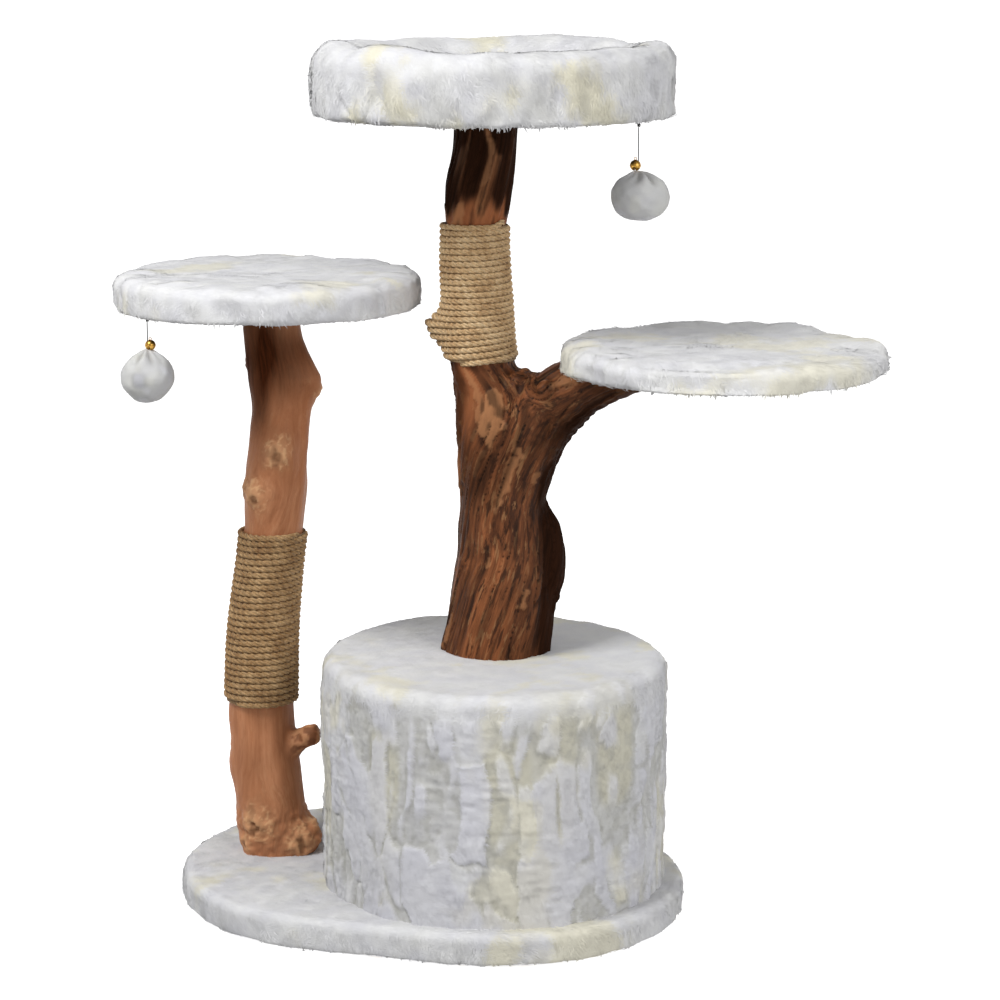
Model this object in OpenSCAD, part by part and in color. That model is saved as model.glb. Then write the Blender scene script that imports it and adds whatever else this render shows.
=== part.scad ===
// Cat tree: a plush base, a hideaway drum, a forked natural trunk, a natural
// post, two round platforms, a rimmed bed on top and two hanging toys.
// Millimetres. +X runs along the base, +Y points to the back, +Z is up.
// The origin is on the floor, at the centre of the base.

/* [Base] */
// Half the distance between the centres of the base's two round ends
base_half = 82; // [70:1:95]
// Radius of the base's round ends, over the plush
base_r = 233; // [226:1:250]
// Height of the base's plush top above the floor
base_h = 42; // [38:1:48]
// Height of the non-slip pads
pad_h = 3; // [2:0.5:4]
// Thickness of the base board
base_board_t = 28; // [22:1:30]

/* [Drum] */
// Place of the drum's centre along the base
drum_x = 80; // [70:1:90]
// Outer radius of the drum, over the plush
drum_r = 210; // [205:1:214]
// Height of the drum's plush top above the floor
drum_top = 319; // [300:1:322]
// Thickness of the drum's wall
wall_t = 5; // [4:0.5:8]
// Diameter of the entry hole, before its soft binding
door_d = 190; // [150:1:200]
// Height of the entry hole's centre above the floor
door_z = 168; // [160:1:175]

/* [Boards and plush] */
// Thickness of the platform boards, the drum's roof and the bed's board
board_t = 15; // [12:1:15]
// Thickness of the plush at the sides
plush_t = 8; // [6:0.5:9]
// Thickness of the thin lining sheets
lining_t = 1.2; // [0.8:0.1:1.5]

/* [Left platform] */
// Outer radius of the left platform
left_r = 187; // [170:1:195]
// Height of its underside
left_z = 729; // [725:1:735]
// Height over its plush
left_h = 43; // [38:1:50]

/* [Right platform] */
// Outer radius of the right platform
right_r = 190; // [175:1:200]
// Height of its underside
right_z = 678; // [676:1:680]
// Height over its plush
right_h = 32; // [31:1:45]

/* [Bed] */
// Outer radius of the bed
bed_r = 213; // [205:1:225]
// Height of the bed's underside
bed_z = 962; // [958:1:966]
// Height of the bed's rim over its plush
bed_h = 86; // [76:1:95]
// Width of the bed's padded rim
rim_w = 58; // [48:1:66]

/* [Rope] */
// Thickness of the wound rope
rope_t = 7.5; // [6:0.5:8]
// Lower and upper ends of the post's rope
post_rope_z0 = 231; // [220:1:240]
post_rope_z1 = 452; // [440:1:460]
// Lower and upper ends of the trunk's rope
trunk_rope_z0 = 670; // [669:1:680]
trunk_rope_z1 = 836; // [825:1:842]

/* [Toys] */
// Diameter of the toy strings
string_d = 1.2; // [1:0.1:1.6]
// Radius of the toy balls
ball_r = 31; // [26:1:33]
// Free string length of the left toy
left_string = 32; // [31:1:40]
// Free string length of the right toy
right_string = 48; // [40:1:60]

/* [Hidden] */
$fn = 96;

gap = 0.2;                                  // clearance between nested pieces
white = [0.93, 0.92, 0.89];
grey_white = [0.84, 0.84, 0.86];
board_col = [0.76, 0.62, 0.44];
trunk_col = [0.42, 0.24, 0.13];
post_col = [0.70, 0.43, 0.25];
rope_col = [0.72, 0.58, 0.40];
steel_col = [0.70, 0.71, 0.73];
brass_col = [0.85, 0.66, 0.28];

// Levels of the base and the drum
board_z0 = pad_h + lining_t;
board_z1 = board_z0 + base_board_t;
wall_r = drum_r - plush_t - gap;            // outside of the drum's wall
wall_in = wall_r - wall_t;
roof_z1 = drum_top - 9;
roof_z0 = roof_z1 - board_t;
floor_t = 12;
mat_t = 8;
lining_wall_t = 2;

// Platform centres
left_c = [-205, 0];
right_c = [358, -10];
bed_c = [77, 10];
bed_board_z = bed_z + lining_t;

// Stems: each row is [x, y, height, radius] on the stem's middle line
POST = [
    [-211, 8, 32, 39], [-214, 8, 62, 41], [-217, 7, 110, 42], [-221, 7, 170, 41],
    [-224, 7, 215, 39.5], [-223, 6, 265, 39.5], [-221, 6, 320, 39], [-216, 6, 370, 38],
    [-209, 5, 420, 37], [-204, 5, 460, 38], [-200, 4, 505, 40], [-195, 4, 550, 38],
    [-191, 4, 595, 37], [-194, 3, 635, 36.5], [-200, 3, 675, 34], [-203, 3, 731, 33]
];
TRUNK = [
    [74, 25, 310, 66], [79, 24, 350, 66], [84, 23, 400, 64], [86, 22, 450, 58],
    [84, 21, 510, 53], [82, 20, 560, 51], [74, 19, 610, 45], [64, 18, 655, 39],
    [58, 17, 690, 37], [55, 16, 740, 36], [52, 15, 790, 35], [52, 15, 830, 34],
    [54, 14, 850, 36.5], [58, 13, 882, 38.5], [64, 12, 915, 37], [67, 12, 964, 38]
];
// Branch and side lobe: [x, y, height, radius, tilt of the ring]
BRANCH = [
    [92, 20, 500, 45, 5], [104, 17, 545, 46, 18], [120, 13, 585, 46, 35], [150, 8, 622, 42, 45],
    [184, 4, 648, 37, 52], [222, 0, 668, 36, 60], [258, -3, 683, 34, 68], [300, -6, 692, 32, 80],
    [326, -8, 695, 27, 84]
];
LOBE = [
    [106, 34, 525, 9, 0], [118, 34, 500, 18, 0], [128, 35, 470, 24, 0], [134, 35, 435, 26, 0],
    [131, 34, 405, 26, 0], [118, 33, 370, 27, 0], [108, 31, 335, 28, 0], [104, 30, 310, 28, 0]
];
// Burls on the stems: [direction, height, how far it stands out, width]
POST_BURLS = [
    [0, 643, 20, 26], [0, 56, 24, 22], [250, 502, 5, 18], [290, 556, 7, 18], [185, 148, 5, 20]
];
TRUNK_BURLS = [[180, 709, 27, 17]];
// Twig stub on the post: [x, y, height, radius, tilt of the ring]
TWIG = [
    [-212, 6, 158, 21, 40], [-192, 6, 172, 19, 45], [-178, 5, 183, 16, 55], [-166, 5, 191, 13.5, 65],
    [-156, 5, 195, 12.5, 75], [-149, 5, 196, 10, 80]
];
// Wood that fills the fork above the branch, and a small knot in front of it: [x, y, height, radius]
FORK_WOOD = [[108, 15, 633, 32], [153, -28, 648, 12]];

// Places of the fasteners
POST_BOLT = [-212, 8];
TRUNK_BOLTS = [for (a = [30, 150, 270]) [74 + 36 * cos(a), 25 + 36 * sin(a)]];
FLOOR_SCREWS = [for (a = [45, 135, 225, 315]) [drum_x + 130 * cos(a), 130 * sin(a)]];
PADS = [[0, 0], [-250, 0], [250, 0], [-82, -175], [-82, 175], [82, -175], [82, 175]];
// Hanger bolts: [x, y, height of the wood's flat end]
right_wood_z = right_z + lining_t;
HANGERS = [
    [-203, 3, left_z + lining_t], [67, 12, bed_board_z], [218, 0, right_wood_z], [272, -4, right_wood_z]
];
M8 = 3.95;
M8_bore = 4.3;
insert_r = 6;
wood_depth = 26;                            // how deep a hanger bolt enters the wood

// Toys: where each string is held
LEFT_TOY = [-305, -133, left_z];
RIGHT_TOY = [263, -36, bed_z];
knot_r = 2.2;
neck_r = 2.6;
neck_h = 4;

// ---------- helper functions ----------

// Smooth value between rows b and c of a list, with their neighbours a and d
function blend(a, b, c, d, t) =
    0.5 * (2 * b + (c - a) * t + (2 * a - 5 * b + 4 * c - d) * t * t
    + (3 * b - 3 * c + d - a) * t * t * t);
function row(p, i) = p[max(0, min(len(p) - 1, i))];
function along(p, i, t) = blend(row(p, i - 1), row(p, i), row(p, i + 1), row(p, i + 2), t);
// Row number of the stretch of a stem that holds height z
function stretch(p, z, i = 0) = i >= len(p) - 2 || p[i + 1][2] > z ? i : stretch(p, z, i + 1);
function at_height(p, z) =
    let (i = stretch(p, z), q = along(p, i, (z - p[i][2]) / (p[i + 1][2] - p[i][2])))
    [q[0], q[1], z, q[3]];

// How far the burls stand out in direction a at height z, on a stem of radius r
function angle_off(a, b) = abs((a - b + 540) % 360 - 180);
function swelling(burls, a, z, r) = len(burls) == 0 ? 0 :
    [for (k = burls) k[2] * exp(-(pow((z - k[1]) / k[3], 2)
        + pow(angle_off(a, k[0]) * PI / 180 * r / k[3], 2)))] * [for (k = burls) 1];
// Radius of a natural stem in direction a: slightly out of round, with its burls
function stem_r(q, a, burls) =
    q[3] * (1 + 0.03 * sin(2 * a + q[2] * 0.5) + 0.02 * sin(3 * a - q[2] * 0.8))
    + swelling(burls, a, q[2], q[3]);
function stem_ring(q, n, burls, extra) =
    [for (k = [0 : n - 1]) let (a = 360 * k / n, r = stem_r(q, a, burls) + extra)
        [q[0] + r * cos(a), q[1] + r * sin(a), q[2]]];
function tilted_ring(q, n) =
    [for (k = [0 : n - 1]) let (a = 360 * k / n)
        [q[0] + q[3] * cos(a) * cos(q[4]), q[1] + q[3] * sin(a), q[2] - q[3] * cos(a) * sin(q[4])]];

function flat(l) = [for (a = l) for (b = a) b];

// Points of a rounded corner: centre, radius, start and end angle
function corner(c, r, a0, a1, n = 6) =
    [for (k = [0 : n]) let (a = a0 + (a1 - a0) * k / n) [c[0] + r * cos(a), c[1] + r * sin(a)]];

// ---------- helper modules ----------

// A skin over quadrilaterals, each cut in two so that every face is flat
module body_of_rings(rings) {
    n = len(rings[0]);
    m = len(rings);
    sides = [for (j = [0 : m - 2]) for (k = [0 : n - 1]) for (h = [0, 1])
        let (a = j * n + k, b = j * n + (k + 1) % n, c = a + n, d = b + n)
            h == 0 ? [a, c, d] : [a, d, b]];
    caps = [[for (k = [0 : n - 1]) k], [for (k = [n - 1 : -1 : 0]) (m - 1) * n + k]];
    polyhedron(points = flat(rings), faces = concat(sides, caps));
}

// Upright stretch of a stem. Its rings stand on shared levels, so that a sleeve round it fits
stem_step = 14;
module stem(p, burls, z0, z1, extra = 0, n = 24) {
    levels = concat([z0], [for (z = [stem_step * floor(z0 / stem_step + 1) : stem_step : z1 - 1]) z], [z1]);
    body_of_rings([for (z = levels) stem_ring(at_height(p, z), n, burls, extra)]);
}

module limb(p, per = 2, n = 18) {
    rings = [for (i = [0 : len(p) - 2]) for (k = [0 : per - 1]) tilted_ring(along(p, i, k / per), n)];
    body_of_rings(concat(rings, [tilted_ring(p[len(p) - 1], n)]));
}

module at(list) {
    for (p = list) translate(p) children();
}

// Outline of the base, with its ends at radius r
module stadium(r, h) {
    linear_extrude(height = h) union() {
        square([2 * base_half, 2 * r], center = true);
        for (s = [-1, 1]) translate([s * base_half, 0]) circle(r = r);
    }
}

// Half section of a round plush body: radius r, height h, soft upper and lower edges
function soft_section(r, h, top_r, low_r) = concat(
    [[0, 0]],
    corner([r - low_r, low_r], low_r, -90, 0),
    corner([r - top_r, h - top_r], top_r, 0, 90),
    [[0, h]]
);

module soft_disc(r, h, top_r, low_r) {
    rotate_extrude() polygon(soft_section(r, h, top_r, low_r));
}

// The same section carried round the base's outline
module soft_stadium(r, h, top_r, low_r) {
    section = soft_section(r, h, top_r, low_r);
    for (turn = [0, 180]) rotate([0, 0, turn]) {
        translate([base_half, 0, 0]) rotate([0, 0, -90]) rotate_extrude(angle = 180) polygon(section);
        translate([-base_half, 0, 0]) rotate([90, 0, 90]) linear_extrude(height = 2 * base_half)
            polygon(section);
    }
}

module bolt(r, length, head_r, head_h) {
    cylinder(r = r, h = length);
    translate([0, 0, -head_h]) cylinder(r = head_r, h = head_h, $fn = 6);
}

module ring(r_out, r_in, h) {
    difference() {
        cylinder(r = r_out, h = h);
        translate([0, 0, -1]) cylinder(r = r_in, h = h + 2);
    }
}

module door_hole(d) {
    translate([drum_x, 0, door_z]) rotate([-90, 0, 0]) cylinder(d = d, h = drum_r + 30);
}

// ---------- base ----------

module base_board() {
    color(board_col) difference() {
        translate([0, 0, board_z0]) stadium(base_r - plush_t - gap, base_board_t);
        translate([POST_BOLT[0], POST_BOLT[1], 0]) cylinder(r = 5.4, h = base_h);
        translate([POST_BOLT[0], POST_BOLT[1], 0]) cylinder(r = 15, h = board_z0 + 11);
        at([for (p = FLOOR_SCREWS) [p[0], p[1], board_z1 - 18]]) cylinder(r = 2, h = 30);
    }
}

// Soft-edged stadium, hollowed for the board, the drum and the post
module base_cover() {
    color(white) difference() {
        translate([0, 0, pad_h - 1]) soft_stadium(base_r, base_h - pad_h + 1, 10, 3);
        translate([0, 0, -1]) stadium(base_r - plush_t, board_z1 + gap + 1);
        translate([drum_x, 0, 0]) cylinder(r = wall_r + gap, h = base_h + 10);
        translate([POST_BOLT[0] - 2, POST_BOLT[1], 0]) cylinder(r = 46, h = base_h + 10);
        translate([-178, 4, 0]) cylinder(r = 30, h = base_h + 10);
    }
}

module base_lining() {
    color([0.25, 0.25, 0.26]) difference() {
        translate([0, 0, pad_h]) stadium(base_r - plush_t - 6, lining_t - 0.05);
        translate([POST_BOLT[0], POST_BOLT[1], 0]) cylinder(r = 17, h = 10);
    }
}

module floor_pads() {
    color([0.12, 0.12, 0.12]) at([for (p = PADS) [p[0], p[1], 0]]) cylinder(r = 16, h = pad_h - 0.05);
}

module post_bolt() {
    color(steel_col) translate([POST_BOLT[0], POST_BOLT[1], board_z0 + 9]) bolt(4.95, 62, 9.2, 6.4);
}

module post_washer() {
    color(steel_col) translate([POST_BOLT[0], POST_BOLT[1], board_z0 + 9.05]) ring(12, 5.2, 1.9);
}

module post_insert() {
    color(brass_col) translate([POST_BOLT[0], POST_BOLT[1], board_z1 + 2]) ring(8, 5.02, 25);
}

// ---------- drum ----------

module condo_floor() {
    color(board_col) difference() {
        translate([drum_x, 0, board_z1]) cylinder(r = wall_in - gap, h = floor_t);
        at([for (p = FLOOR_SCREWS) [p[0], p[1], board_z1 - 5]]) cylinder(r = 2.6, h = 30);
        at([for (p = FLOOR_SCREWS) [p[0], p[1], board_z1 + floor_t - 4]]) cylinder(r = 4.6, h = 10);
    }
}

module condo_floor_screws() {
    color(steel_col) at([for (p = FLOOR_SCREWS) [p[0], p[1], board_z1 + floor_t - 4]]) union() {
        translate([0, 0, -24]) cylinder(r = 1.95, h = 25);
        cylinder(r = 4.2, h = 3.4);
    }
}

module condo_wall() {
    color(board_col) difference() {
        translate([drum_x, 0, board_z1]) ring(wall_r, wall_in, roof_z0 - board_z1);
        door_hole(door_d);
    }
}

module condo_roof() {
    color(board_col) difference() {
        translate([drum_x, 0, roof_z0]) cylinder(r = wall_r, h = board_t);
        at([for (p = TRUNK_BOLTS) [p[0], p[1], roof_z0 - 5]]) cylinder(r = M8_bore, h = 30);
    }
}

module condo_side_cover() {
    top = roof_z1;
    color(white) difference() {
        translate([drum_x, 0, base_h + gap]) ring(drum_r, wall_r + gap, top - base_h);
        door_hole(door_d);
    }
}

module condo_top_cover() {
    color(white) difference() {
        translate([drum_x, 0, roof_z1 + gap * 2]) soft_disc(drum_r, drum_top - roof_z1 - gap * 2, 6, 1);
        translate([76, 26, 0]) cylinder(r = 71, h = 400);
        translate([108, 30, 0]) cylinder(r = 32, h = 400);
    }
}

module condo_lining() {
    color(grey_white) difference() {
        translate([drum_x, 0, board_z1 + floor_t + gap])
            ring(wall_in - gap, wall_in - lining_wall_t, roof_z0 - board_z1 - floor_t - 2 * gap);
        door_hole(door_d);
    }
}

// Soft sleeve that binds the entry hole's edge, bent with the wall
module condo_door_trim() {
    color(grey_white) intersection() {
        translate([drum_x, 0, 60]) ring(drum_r + 4, wall_in - lining_wall_t - 3, 220);
        difference() {
            door_hole(door_d - 0.4);
            door_hole(door_d - 12);
        }
    }
}

module condo_mat() {
    color(grey_white) translate([drum_x, 0, board_z1 + floor_t + gap])
        soft_disc(wall_in - lining_wall_t - 1, mat_t, 3, 1);
}

// ---------- trunk ----------

module trunk() {
    color(trunk_col) difference() {
        union() {
            stem(TRUNK, TRUNK_BURLS, roof_z1, bed_board_z);
            limb(BRANCH);
            limb([for (i = [len(LOBE) - 1 : -1 : 0]) LOBE[i]]);
            for (k = FORK_WOOD) translate([k[0], k[1], k[2]]) sphere(r = k[3], $fn = 12);
        }
        translate([130, -100, right_wood_z]) cube([300, 200, 100]);
        translate([0, -100, 200]) cube([220, 250, roof_z1 - 200]);
        at([for (p = TRUNK_BOLTS) [p[0], p[1], roof_z1 - 1]]) cylinder(r = insert_r + 0.05, h = 36);
        at([for (k = [1 : 3]) HANGERS[k] - [0, 0, wood_depth + 1]]) cylinder(r = M8 + 0.05, h = 40);
    }
}

// Sleeve of wound rope round a stem
module rope_sleeve(p, burls, z0, z1) {
    color(rope_col) difference() {
        stem(p, burls, z0, z1, rope_t);
        stem(p, burls, stem_step * ceil(z0 / stem_step - 1), stem_step * floor(z1 / stem_step + 1), 0.4);
    }
}

module trunk_rope() rope_sleeve(TRUNK, TRUNK_BURLS, trunk_rope_z0, trunk_rope_z1);

module trunk_bolts() {
    color(steel_col) at([for (p = TRUNK_BOLTS) [p[0], p[1], roof_z0 - 2]]) bolt(M8, 48, 7.5, 5.3);
}

module trunk_washers() {
    color(steel_col) at([for (p = TRUNK_BOLTS) [p[0], p[1], roof_z0 - 1.95]]) ring(9, 4.2, 1.9);
}

module trunk_inserts() {
    color(brass_col) at([for (p = TRUNK_BOLTS) [p[0], p[1], roof_z1 + 1]]) ring(insert_r, 4.02, 22);
}

module hanger_bolts() {
    color(steel_col) at([for (p = HANGERS) p - [0, 0, wood_depth]])
        cylinder(r = M8, h = wood_depth + board_t - 2);
}

// Each nut is a barrel in the board with a flange on the board's top
module tee_nuts() {
    color(steel_col) at([for (p = HANGERS) p + [0, 0, board_t - 11]]) difference() {
        union() {
            cylinder(r = 5.6, h = 11.5);
            translate([0, 0, 11.05]) cylinder(r = 11, h = 1.2);
        }
        translate([0, 0, -1]) cylinder(r = M8 + 0.05, h = 20);
    }
}

// ---------- left post ----------

module left_post() {
    color(post_col) difference() {
        union() {
            stem(POST, POST_BURLS, board_z1, left_z + lining_t);
            limb(TWIG);
        }
        translate([POST_BOLT[0], POST_BOLT[1], 0]) cylinder(r = 8.05, h = 100);
        translate(HANGERS[0] - [0, 0, wood_depth + 1]) cylinder(r = M8 + 0.05, h = 40);
    }
}

module left_post_rope() rope_sleeve(POST, POST_BURLS, post_rope_z0, post_rope_z1);

// ---------- platforms ----------

// Board with a hole for each tee nut: c is the centre, z the underside
module platform_board(c, z, r) {
    color(board_col) difference() {
        translate([c[0], c[1], z + lining_t]) cylinder(r = r - plush_t - 3, h = board_t);
        at([for (p = HANGERS) [p[0], p[1], z - 5]]) cylinder(r = 5.7, h = 40);
        staple_slots(LEFT_TOY);
    }
}

module platform_foam(c, z, r, h) {
    t = h - lining_t - board_t - 10;
    color([0.9, 0.87, 0.75]) difference() {
        translate([c[0], c[1], z + lining_t + board_t + gap]) soft_disc(r - plush_t - 3, t, 3, 0.5);
        at([for (p = HANGERS) [p[0], p[1], z]]) cylinder(r = 12, h = lining_t + board_t + 3);
    }
}

module platform_cover(c, z, r, h) {
    color(white) translate([c[0], c[1], z]) difference() {
        soft_disc(r, h, 14, 8);
        translate([0, 0, -1]) cylinder(r = r - plush_t - 3 + gap, h = h - 9.5 + 1);
    }
}

// Thin sheet under a board, with a hole round the wood
module platform_lining(c, z, r, holes) {
    color([0.25, 0.25, 0.26]) difference() {
        translate([c[0], c[1], z + 0.1]) cylinder(r = r - plush_t - 6, h = lining_t - 0.15);
        for (k = holes) translate([k[0], k[1], z - 1]) cylinder(r = k[2], h = 10);
        staple_slots(LEFT_TOY);
    }
}

module left_board() platform_board(left_c, left_z, left_r);
module left_foam() platform_foam(left_c, left_z, left_r, left_h);
module left_cover() platform_cover(left_c, left_z, left_r, left_h);
module left_lining() platform_lining(left_c, left_z, left_r, [[-203, 3, 38]]);

module right_board() platform_board(right_c, right_z, right_r);
module right_foam() platform_foam(right_c, right_z, right_r, right_h);
module right_cover() {
    difference() {
        platform_cover(right_c, right_z, right_r, right_h);
        color(white) translate([185, 1, right_z - 1]) cylinder(r = 37, h = 2.2);
    }
}
module right_lining() {
    color([0.25, 0.25, 0.26]) difference() {
        platform_lining(right_c, right_z, right_r, [[326, -8, 34]]);
        translate([150, -48, right_z - 1]) cube([176, 86, 10]);
    }
}

// ---------- bed ----------

rim_in = bed_r - rim_w;
bed_floor_z = bed_board_z + board_t + gap;

module bed_board() {
    color(board_col) difference() {
        translate([bed_c[0], bed_c[1], bed_board_z]) cylinder(r = bed_r - plush_t - 4, h = board_t);
        at([for (p = HANGERS) [p[0], p[1], bed_board_z - 5]]) cylinder(r = 5.7, h = 40);
        staple_slots(RIGHT_TOY);
    }
}

// Half section of the rim's stuffing from height low, wider all round by grow
function stuffing(low, grow) =
    let (x0 = rim_in + plush_t - grow, x1 = bed_r - plush_t + grow)
    let (z1 = bed_z + bed_h - plush_t - 1 + grow, soft = (x1 - x0) / 2 - 1)
    concat(
        [[x0, low], [x1, low]],
        corner([x1 - soft, z1 - soft], soft, 0, 90),
        corner([x0 + soft, z1 - soft], soft, 90, 180)
    );

module bed_bolster() {
    color([0.95, 0.94, 0.9]) translate([bed_c[0], bed_c[1], 0])
        rotate_extrude() polygon(stuffing(bed_floor_z, 0));
}

module bed_cushion() {
    color(grey_white) difference() {
        translate([bed_c[0], bed_c[1], bed_floor_z]) soft_disc(rim_in - gap, 26, 12, 1);
        at([for (p = HANGERS) [p[0], p[1], bed_floor_z - 1]]) cylinder(r = 12, h = 4);
    }
}

module bed_cover() {
    top = bed_z + bed_h;
    soft = rim_w / 2 - 1;
    low = 10;
    color(white) translate([bed_c[0], bed_c[1], 0]) difference() {
        rotate_extrude() polygon(concat(
            [[rim_in, bed_z + 4], [bed_r - 30, bed_z]],
            corner([bed_r - low, bed_z + low], low, -90, 0),
            corner([bed_r - soft, top - soft], soft, 0, 90),
            corner([rim_in + soft, top - soft], soft, 90, 180)
        ));
        translate([0, 0, bed_z - 1])
            cylinder(r = bed_r - plush_t - 4 + gap, h = lining_t + board_t + 1 + gap);
        rotate_extrude() polygon(stuffing(bed_floor_z - 2, gap));
    }
}

module bed_lining() {
    color([0.25, 0.25, 0.26]) difference() {
        translate([bed_c[0], bed_c[1], bed_z + 0.1]) cylinder(r = bed_r - plush_t - 8, h = lining_t - 0.15);
        translate([67, 12, bed_z - 1]) cylinder(r = 43, h = 10);
        staple_slots(RIGHT_TOY);
    }
}

// ---------- toys ----------

// Wire staple in a board's underside, with its bridge just below the plush
staple_w = 7;
staple_leg = 10;
wire = 0.9;
module staple(p) {
    translate(p - [staple_w / 2, wire / 2, 1.65]) cube([staple_w, wire, wire]);
    for (x = [-staple_w / 2, staple_w / 2 - wire]) translate(p + [x, -wire / 2, -1.65])
        cube([wire, wire, staple_leg]);
}
module staple_slots(p) {
    for (x = [-staple_w / 2, staple_w / 2 - wire]) translate(p + [x - 0.1, -wire / 2 - 0.1, -5])
        cube([wire + 0.2, wire + 0.2, staple_leg + 4]);
}

module toy_staples() {
    color(steel_col) staple(LEFT_TOY);
    color(steel_col) staple(RIGHT_TOY);
}

function knot_z(p) = p[2] - 1.9 - knot_r;
function ball_top(p, free) = knot_z(p) - knot_r - free;

module toy_knot(p) {
    color([0.3, 0.3, 0.3]) translate([p[0], p[1], knot_z(p)]) sphere(r = knot_r, $fn = 32);
}

// String from just under the knot down to the flat top of the ball's neck
module toy_string(p, free) {
    top = knot_z(p) - knot_r - 0.3;
    low = ball_top(p, free);
    rings = ceil((top - low) / (string_d * 2.5));
    color([0.3, 0.3, 0.3]) body_of_rings([for (j = [0 : rings])
        [for (k = [0 : 7]) [p[0] + string_d / 2 * cos(45 * k), p[1] + string_d / 2 * sin(45 * k),
            low + (top - low) * j / rings]]]);
}

// Small bell beside the string, with an eye round it
module toy_bell(p, free, side) {
    color(brass_col) translate([p[0], p[1], ball_top(p, free) + 2.6]) union() {
        translate([side * 6.3, 0, -1]) rotate([0, 0, 90]) sphere(r = 3.7, $fn = 48);
        ring(3.1, 1.2, 0.8);
    }
}

// Stuffed ball with a short gathered neck. Its middle lies a little to one side of its string
module toy_ball(p, free, wide, tall, shift) {
    top = ball_top(p, free);
    low = top - neck_h - tall + 1;
    rings = concat([for (a = [-80 : 10 : 80]) [wide * cos(a), ball_r * cos(a), low + tall * sin(a), shift]],
        [[neck_r, neck_r, top - neck_h + 1.2, 0], [neck_r, neck_r, top, 0]]);
    color(grey_white) body_of_rings([for (r = rings)
        [for (k = [0 : 10 : 350]) [p[0] + r[3] + r[0] * cos(k), p[1] + r[1] * sin(k), r[2]]]]);
}

module left_toy_knot() toy_knot(LEFT_TOY);
module left_toy_string() toy_string(LEFT_TOY, left_string);
module left_toy_bell() toy_bell(LEFT_TOY, left_string, 1);
module left_toy_ball() toy_ball(LEFT_TOY, left_string, ball_r + 1, ball_r + 0.5, -1);
module right_toy_knot() toy_knot(RIGHT_TOY);
module right_toy_string() toy_string(RIGHT_TOY, right_string);
module right_toy_bell() toy_bell(RIGHT_TOY, right_string, -1);
module right_toy_ball() toy_ball(RIGHT_TOY, right_string, ball_r + 4, ball_r - 2, 3);

// ---------- nodes ----------

base_board();
base_cover();
base_lining();
floor_pads();
post_bolt();
post_washer();
post_insert();
condo_floor();
condo_floor_screws();
condo_wall();
condo_roof();
condo_side_cover();
condo_top_cover();
condo_lining();
condo_door_trim();
condo_mat();
trunk();
trunk_rope();
trunk_bolts();
trunk_washers();
trunk_inserts();
hanger_bolts();
tee_nuts();
left_post();
left_post_rope();
left_board();
left_foam();
left_cover();
left_lining();
right_board();
right_foam();
right_cover();
right_lining();
bed_board();
bed_bolster();
bed_cushion();
bed_cover();
bed_lining();
toy_staples();
left_toy_knot();
left_toy_string();
left_toy_bell();
left_toy_ball();
right_toy_knot();
right_toy_string();
right_toy_bell();
right_toy_ball();
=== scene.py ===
"""Looks of the cat tree: plush with a real pile, natural wood, wound rope and hanging toys.

Metres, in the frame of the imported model: +X along the base, +Y to the back, +Z up.
"""
import math

import bpy
import numpy as np
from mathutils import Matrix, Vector
from mathutils.bvhtree import BVHTree


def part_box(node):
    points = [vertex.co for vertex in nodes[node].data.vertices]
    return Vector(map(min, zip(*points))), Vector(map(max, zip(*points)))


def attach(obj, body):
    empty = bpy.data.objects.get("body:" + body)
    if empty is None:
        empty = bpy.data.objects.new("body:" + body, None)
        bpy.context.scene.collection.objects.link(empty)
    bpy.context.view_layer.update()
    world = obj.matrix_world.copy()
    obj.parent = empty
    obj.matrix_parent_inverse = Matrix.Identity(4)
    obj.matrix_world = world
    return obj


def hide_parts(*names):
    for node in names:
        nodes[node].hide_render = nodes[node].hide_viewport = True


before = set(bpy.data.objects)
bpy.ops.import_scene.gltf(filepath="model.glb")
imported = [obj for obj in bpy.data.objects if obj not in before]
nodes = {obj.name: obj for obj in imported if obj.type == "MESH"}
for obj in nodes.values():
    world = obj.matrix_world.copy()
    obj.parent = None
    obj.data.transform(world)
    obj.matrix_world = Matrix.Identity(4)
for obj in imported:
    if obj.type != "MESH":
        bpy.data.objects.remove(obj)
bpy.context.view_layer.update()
MM = 0.001
TAU = 2 * math.pi
UP = np.array([0.0, 0.0, 1.0])


# ---------- sizes taken from the frame ----------

def middle(node):
    """Centre of a CAD node's box."""
    low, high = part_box(node)
    return (low + high) / 2


def radius(node):
    """Half of a round CAD node's width."""
    low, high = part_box(node)
    return (high.x - low.x) / 2


def low_of(node):
    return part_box(node)[0].z


def high_of(node):
    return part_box(node)[1].z


# ---------- repeatable noise ----------

TABLE = np.random.default_rng(11).uniform(-1, 1, 65536)


def scatter(a, b, c=0):
    """A fixed random number from -1 to 1 for each trio of whole numbers."""
    h = a.astype(np.int64) * 73856093 ^ b.astype(np.int64) * 19349663
    return TABLE[(h ^ np.int64(c) * 83492791) & 65535]


def noise(p, seed=0):
    """Smooth noise from -1 to 1 at each row of p, with about one bump in each unit."""
    base = np.floor(p).astype(np.int64)
    f = p - base
    f = f * f * f * (f * (6 * f - 15) + 10)
    total = np.zeros(len(p))
    for corner in range(8):
        step = np.array([corner & 1, corner >> 1 & 1, corner >> 2])
        cell = base + step
        h = cell[:, 0] * 73856093 ^ cell[:, 1] * 19349663 ^ cell[:, 2] * 83492791 ^ (seed * 7919 + 13)
        total += TABLE[h & 65535] * np.prod(np.where(step, f, 1 - f), axis=1)
    return total


def rough(p, octaves, seed=0):
    """Sum of noises, each half as strong and twice as fine as the one before."""
    return sum(noise(p * 2**k + 5.7 * k, seed + k) * 0.5**k for k in range(octaves))


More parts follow.
